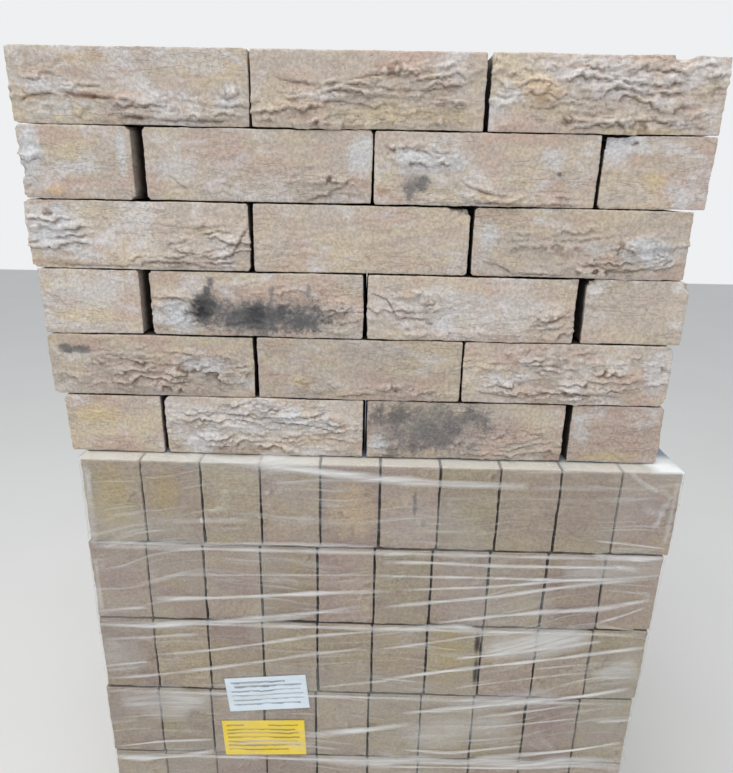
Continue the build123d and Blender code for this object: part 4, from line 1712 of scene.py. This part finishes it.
sheet = {
    "step": 14.0,
    "wave": 0.12,
    "frontInset": 21.0,   # how far behind the front, and inside the film at the sides, it ends
    "sideInset": 2.4,
    "deepColour": paint(84, 112, 150),
    "paleColour": paint(112, 140, 176),
}


def sheetMaterial():
    look, tree, shader = newMaterial("blue_polythene")
    place = objectPlace(tree)
    cloud = rampBetween(tree, noiseNode(tree, place, 9.0, 5.0, distortion=1.5), 0.35, 0.65)
    crinkle = noiseNode(tree, place, 45.0, 4.0, distortion=3.0)
    feedShader(tree, shader, {
        "Base Color": mixColour(tree, cloud, sheet["deepColour"], sheet["paleColour"]),
        "Roughness": linearNode(tree, crinkle, 0.3, 0.2),
        "Normal": bumpNode(tree, crinkle, 0.5, 0.002),
    })
    return look


def makeSheet():
    low, high = (np.array(corner) * 1000 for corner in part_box("top_sheet"))
    reach = [ends[0] for ends in packReach(high[2:])]
    low[0], high[0] = reach[0] + sheet["sideInset"], reach[1] - sheet["sideInset"]
    low[1] += sheet["frontInset"]
    across = round((high[0] - low[0]) / sheet["step"])
    deep = round((high[1] - low[1]) / sheet["step"])
    x, y = np.meshgrid(np.linspace(low[0], high[0], across), np.linspace(low[1], high[1], deep))
    z = np.full(x.size, high[2] - 0.1)
    points = np.stack([x.ravel(), y.ravel(), z], -1)
    points[:, 2] += sheet["wave"] * np.clip(noise(points, 60.0), -1, 0.8)
    ids = np.arange(x.size).reshape(x.shape)
    quads = np.stack([ids[:-1, :-1], ids[:-1, 1:], ids[1:, 1:], ids[1:, :-1]], -1).reshape(-1, 4)
    flat = addMesh("blue_sheet", points, quads.tolist(), {})
    flat.data.materials.append(sheetMaterial())
    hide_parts("top_sheet")
    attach(flat, "root")


makeSheet()
print("sheet ready")


# Labels: plain paper with a few ruled bars

def labelMaterial(name, node, tilt, paper, bars, ink):
    look, tree, shader = newMaterial(name)
    place = objectPlace(tree)
    low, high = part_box(node)
    turned = addNode(tree, "ShaderNodeMapping", {"Vector": place}, vector_type="TEXTURE")
    turned.inputs["Location"].default_value = (low + high) / 2
    turned.inputs["Rotation"].default_value = (0, -math.radians(tilt), 0)
    parts = addNode(tree, "ShaderNodeSeparateXYZ", {"Vector": turned.outputs[0]}).outputs
    fibre = noiseNode(tree, place, 60.0, 6.0)
    darker = tuple(c * 0.93 for c in paper)
    result = mixColour(tree, rampBetween(tree, fibre, 0.3, 0.7), paper, darker)
    uneven = mathNode(tree, "MULTIPLY", mathNode(tree, "SUBTRACT", fibre, 0.5), 0.006)
    level = mathNode(tree, "ADD", parts["Z"], uneven)
    worn = linearNode(tree, rampBetween(tree, fibre, 0.35, 0.6), 0.4, 0.4)
    for left, right, centre, height in bars:
        across = mathNode(tree, "COMPARE", parts["X"], (left + right) * 0.0005)
        across.node.inputs[2].default_value = (right - left) * 0.0005
        upward = mathNode(tree, "COMPARE", level, centre * 0.001)
        upward.node.inputs[2].default_value = height * 0.0005
        inked = mathNode(tree, "MULTIPLY", mathNode(tree, "MULTIPLY", across, upward), worn)
        result = mixColour(tree, inked, result, ink)
    feedShader(tree, shader, {
        "Base Color": result,
        "Roughness": linearNode(tree, fibre, 0.3, 0.4),
        "Normal": bumpNode(tree, fibre, 0.3, 0.001),
    })
    return look


labels = {
    "white_label": (5.5, paint(228, 241, 252), [(-44, 24, 18, 3), (-40, 44, 12, 3), (-44, 42, 5, 2),
                                                (-44, 45, -2, 2), (-44, 45, -9, 2), (-44, 40, -16, 2.5)],
                    paint(76, 84, 98)),
    "yellow_label": (2.5, paint(250, 218, 0), [(-47, -24, 21, 2.5), (6, 44, 21, 2), (-47, 40, 14, 2.5),
                                               (-47, 44, 8, 3), (-47, 45, 1, 3), (-47, 42, -6, 2.5),
                                               (-47, 45, -12, 3), (-47, 30, -19, 2.5)], paint(140, 112, 0)),
}
for node, (tilt, paper, bars, ink) in labels.items():
    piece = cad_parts[node]
    piece.data.materials.clear()
    piece.data.materials.append(labelMaterial(node + "_paper", node, tilt, paper, bars, ink))
print("labels ready")
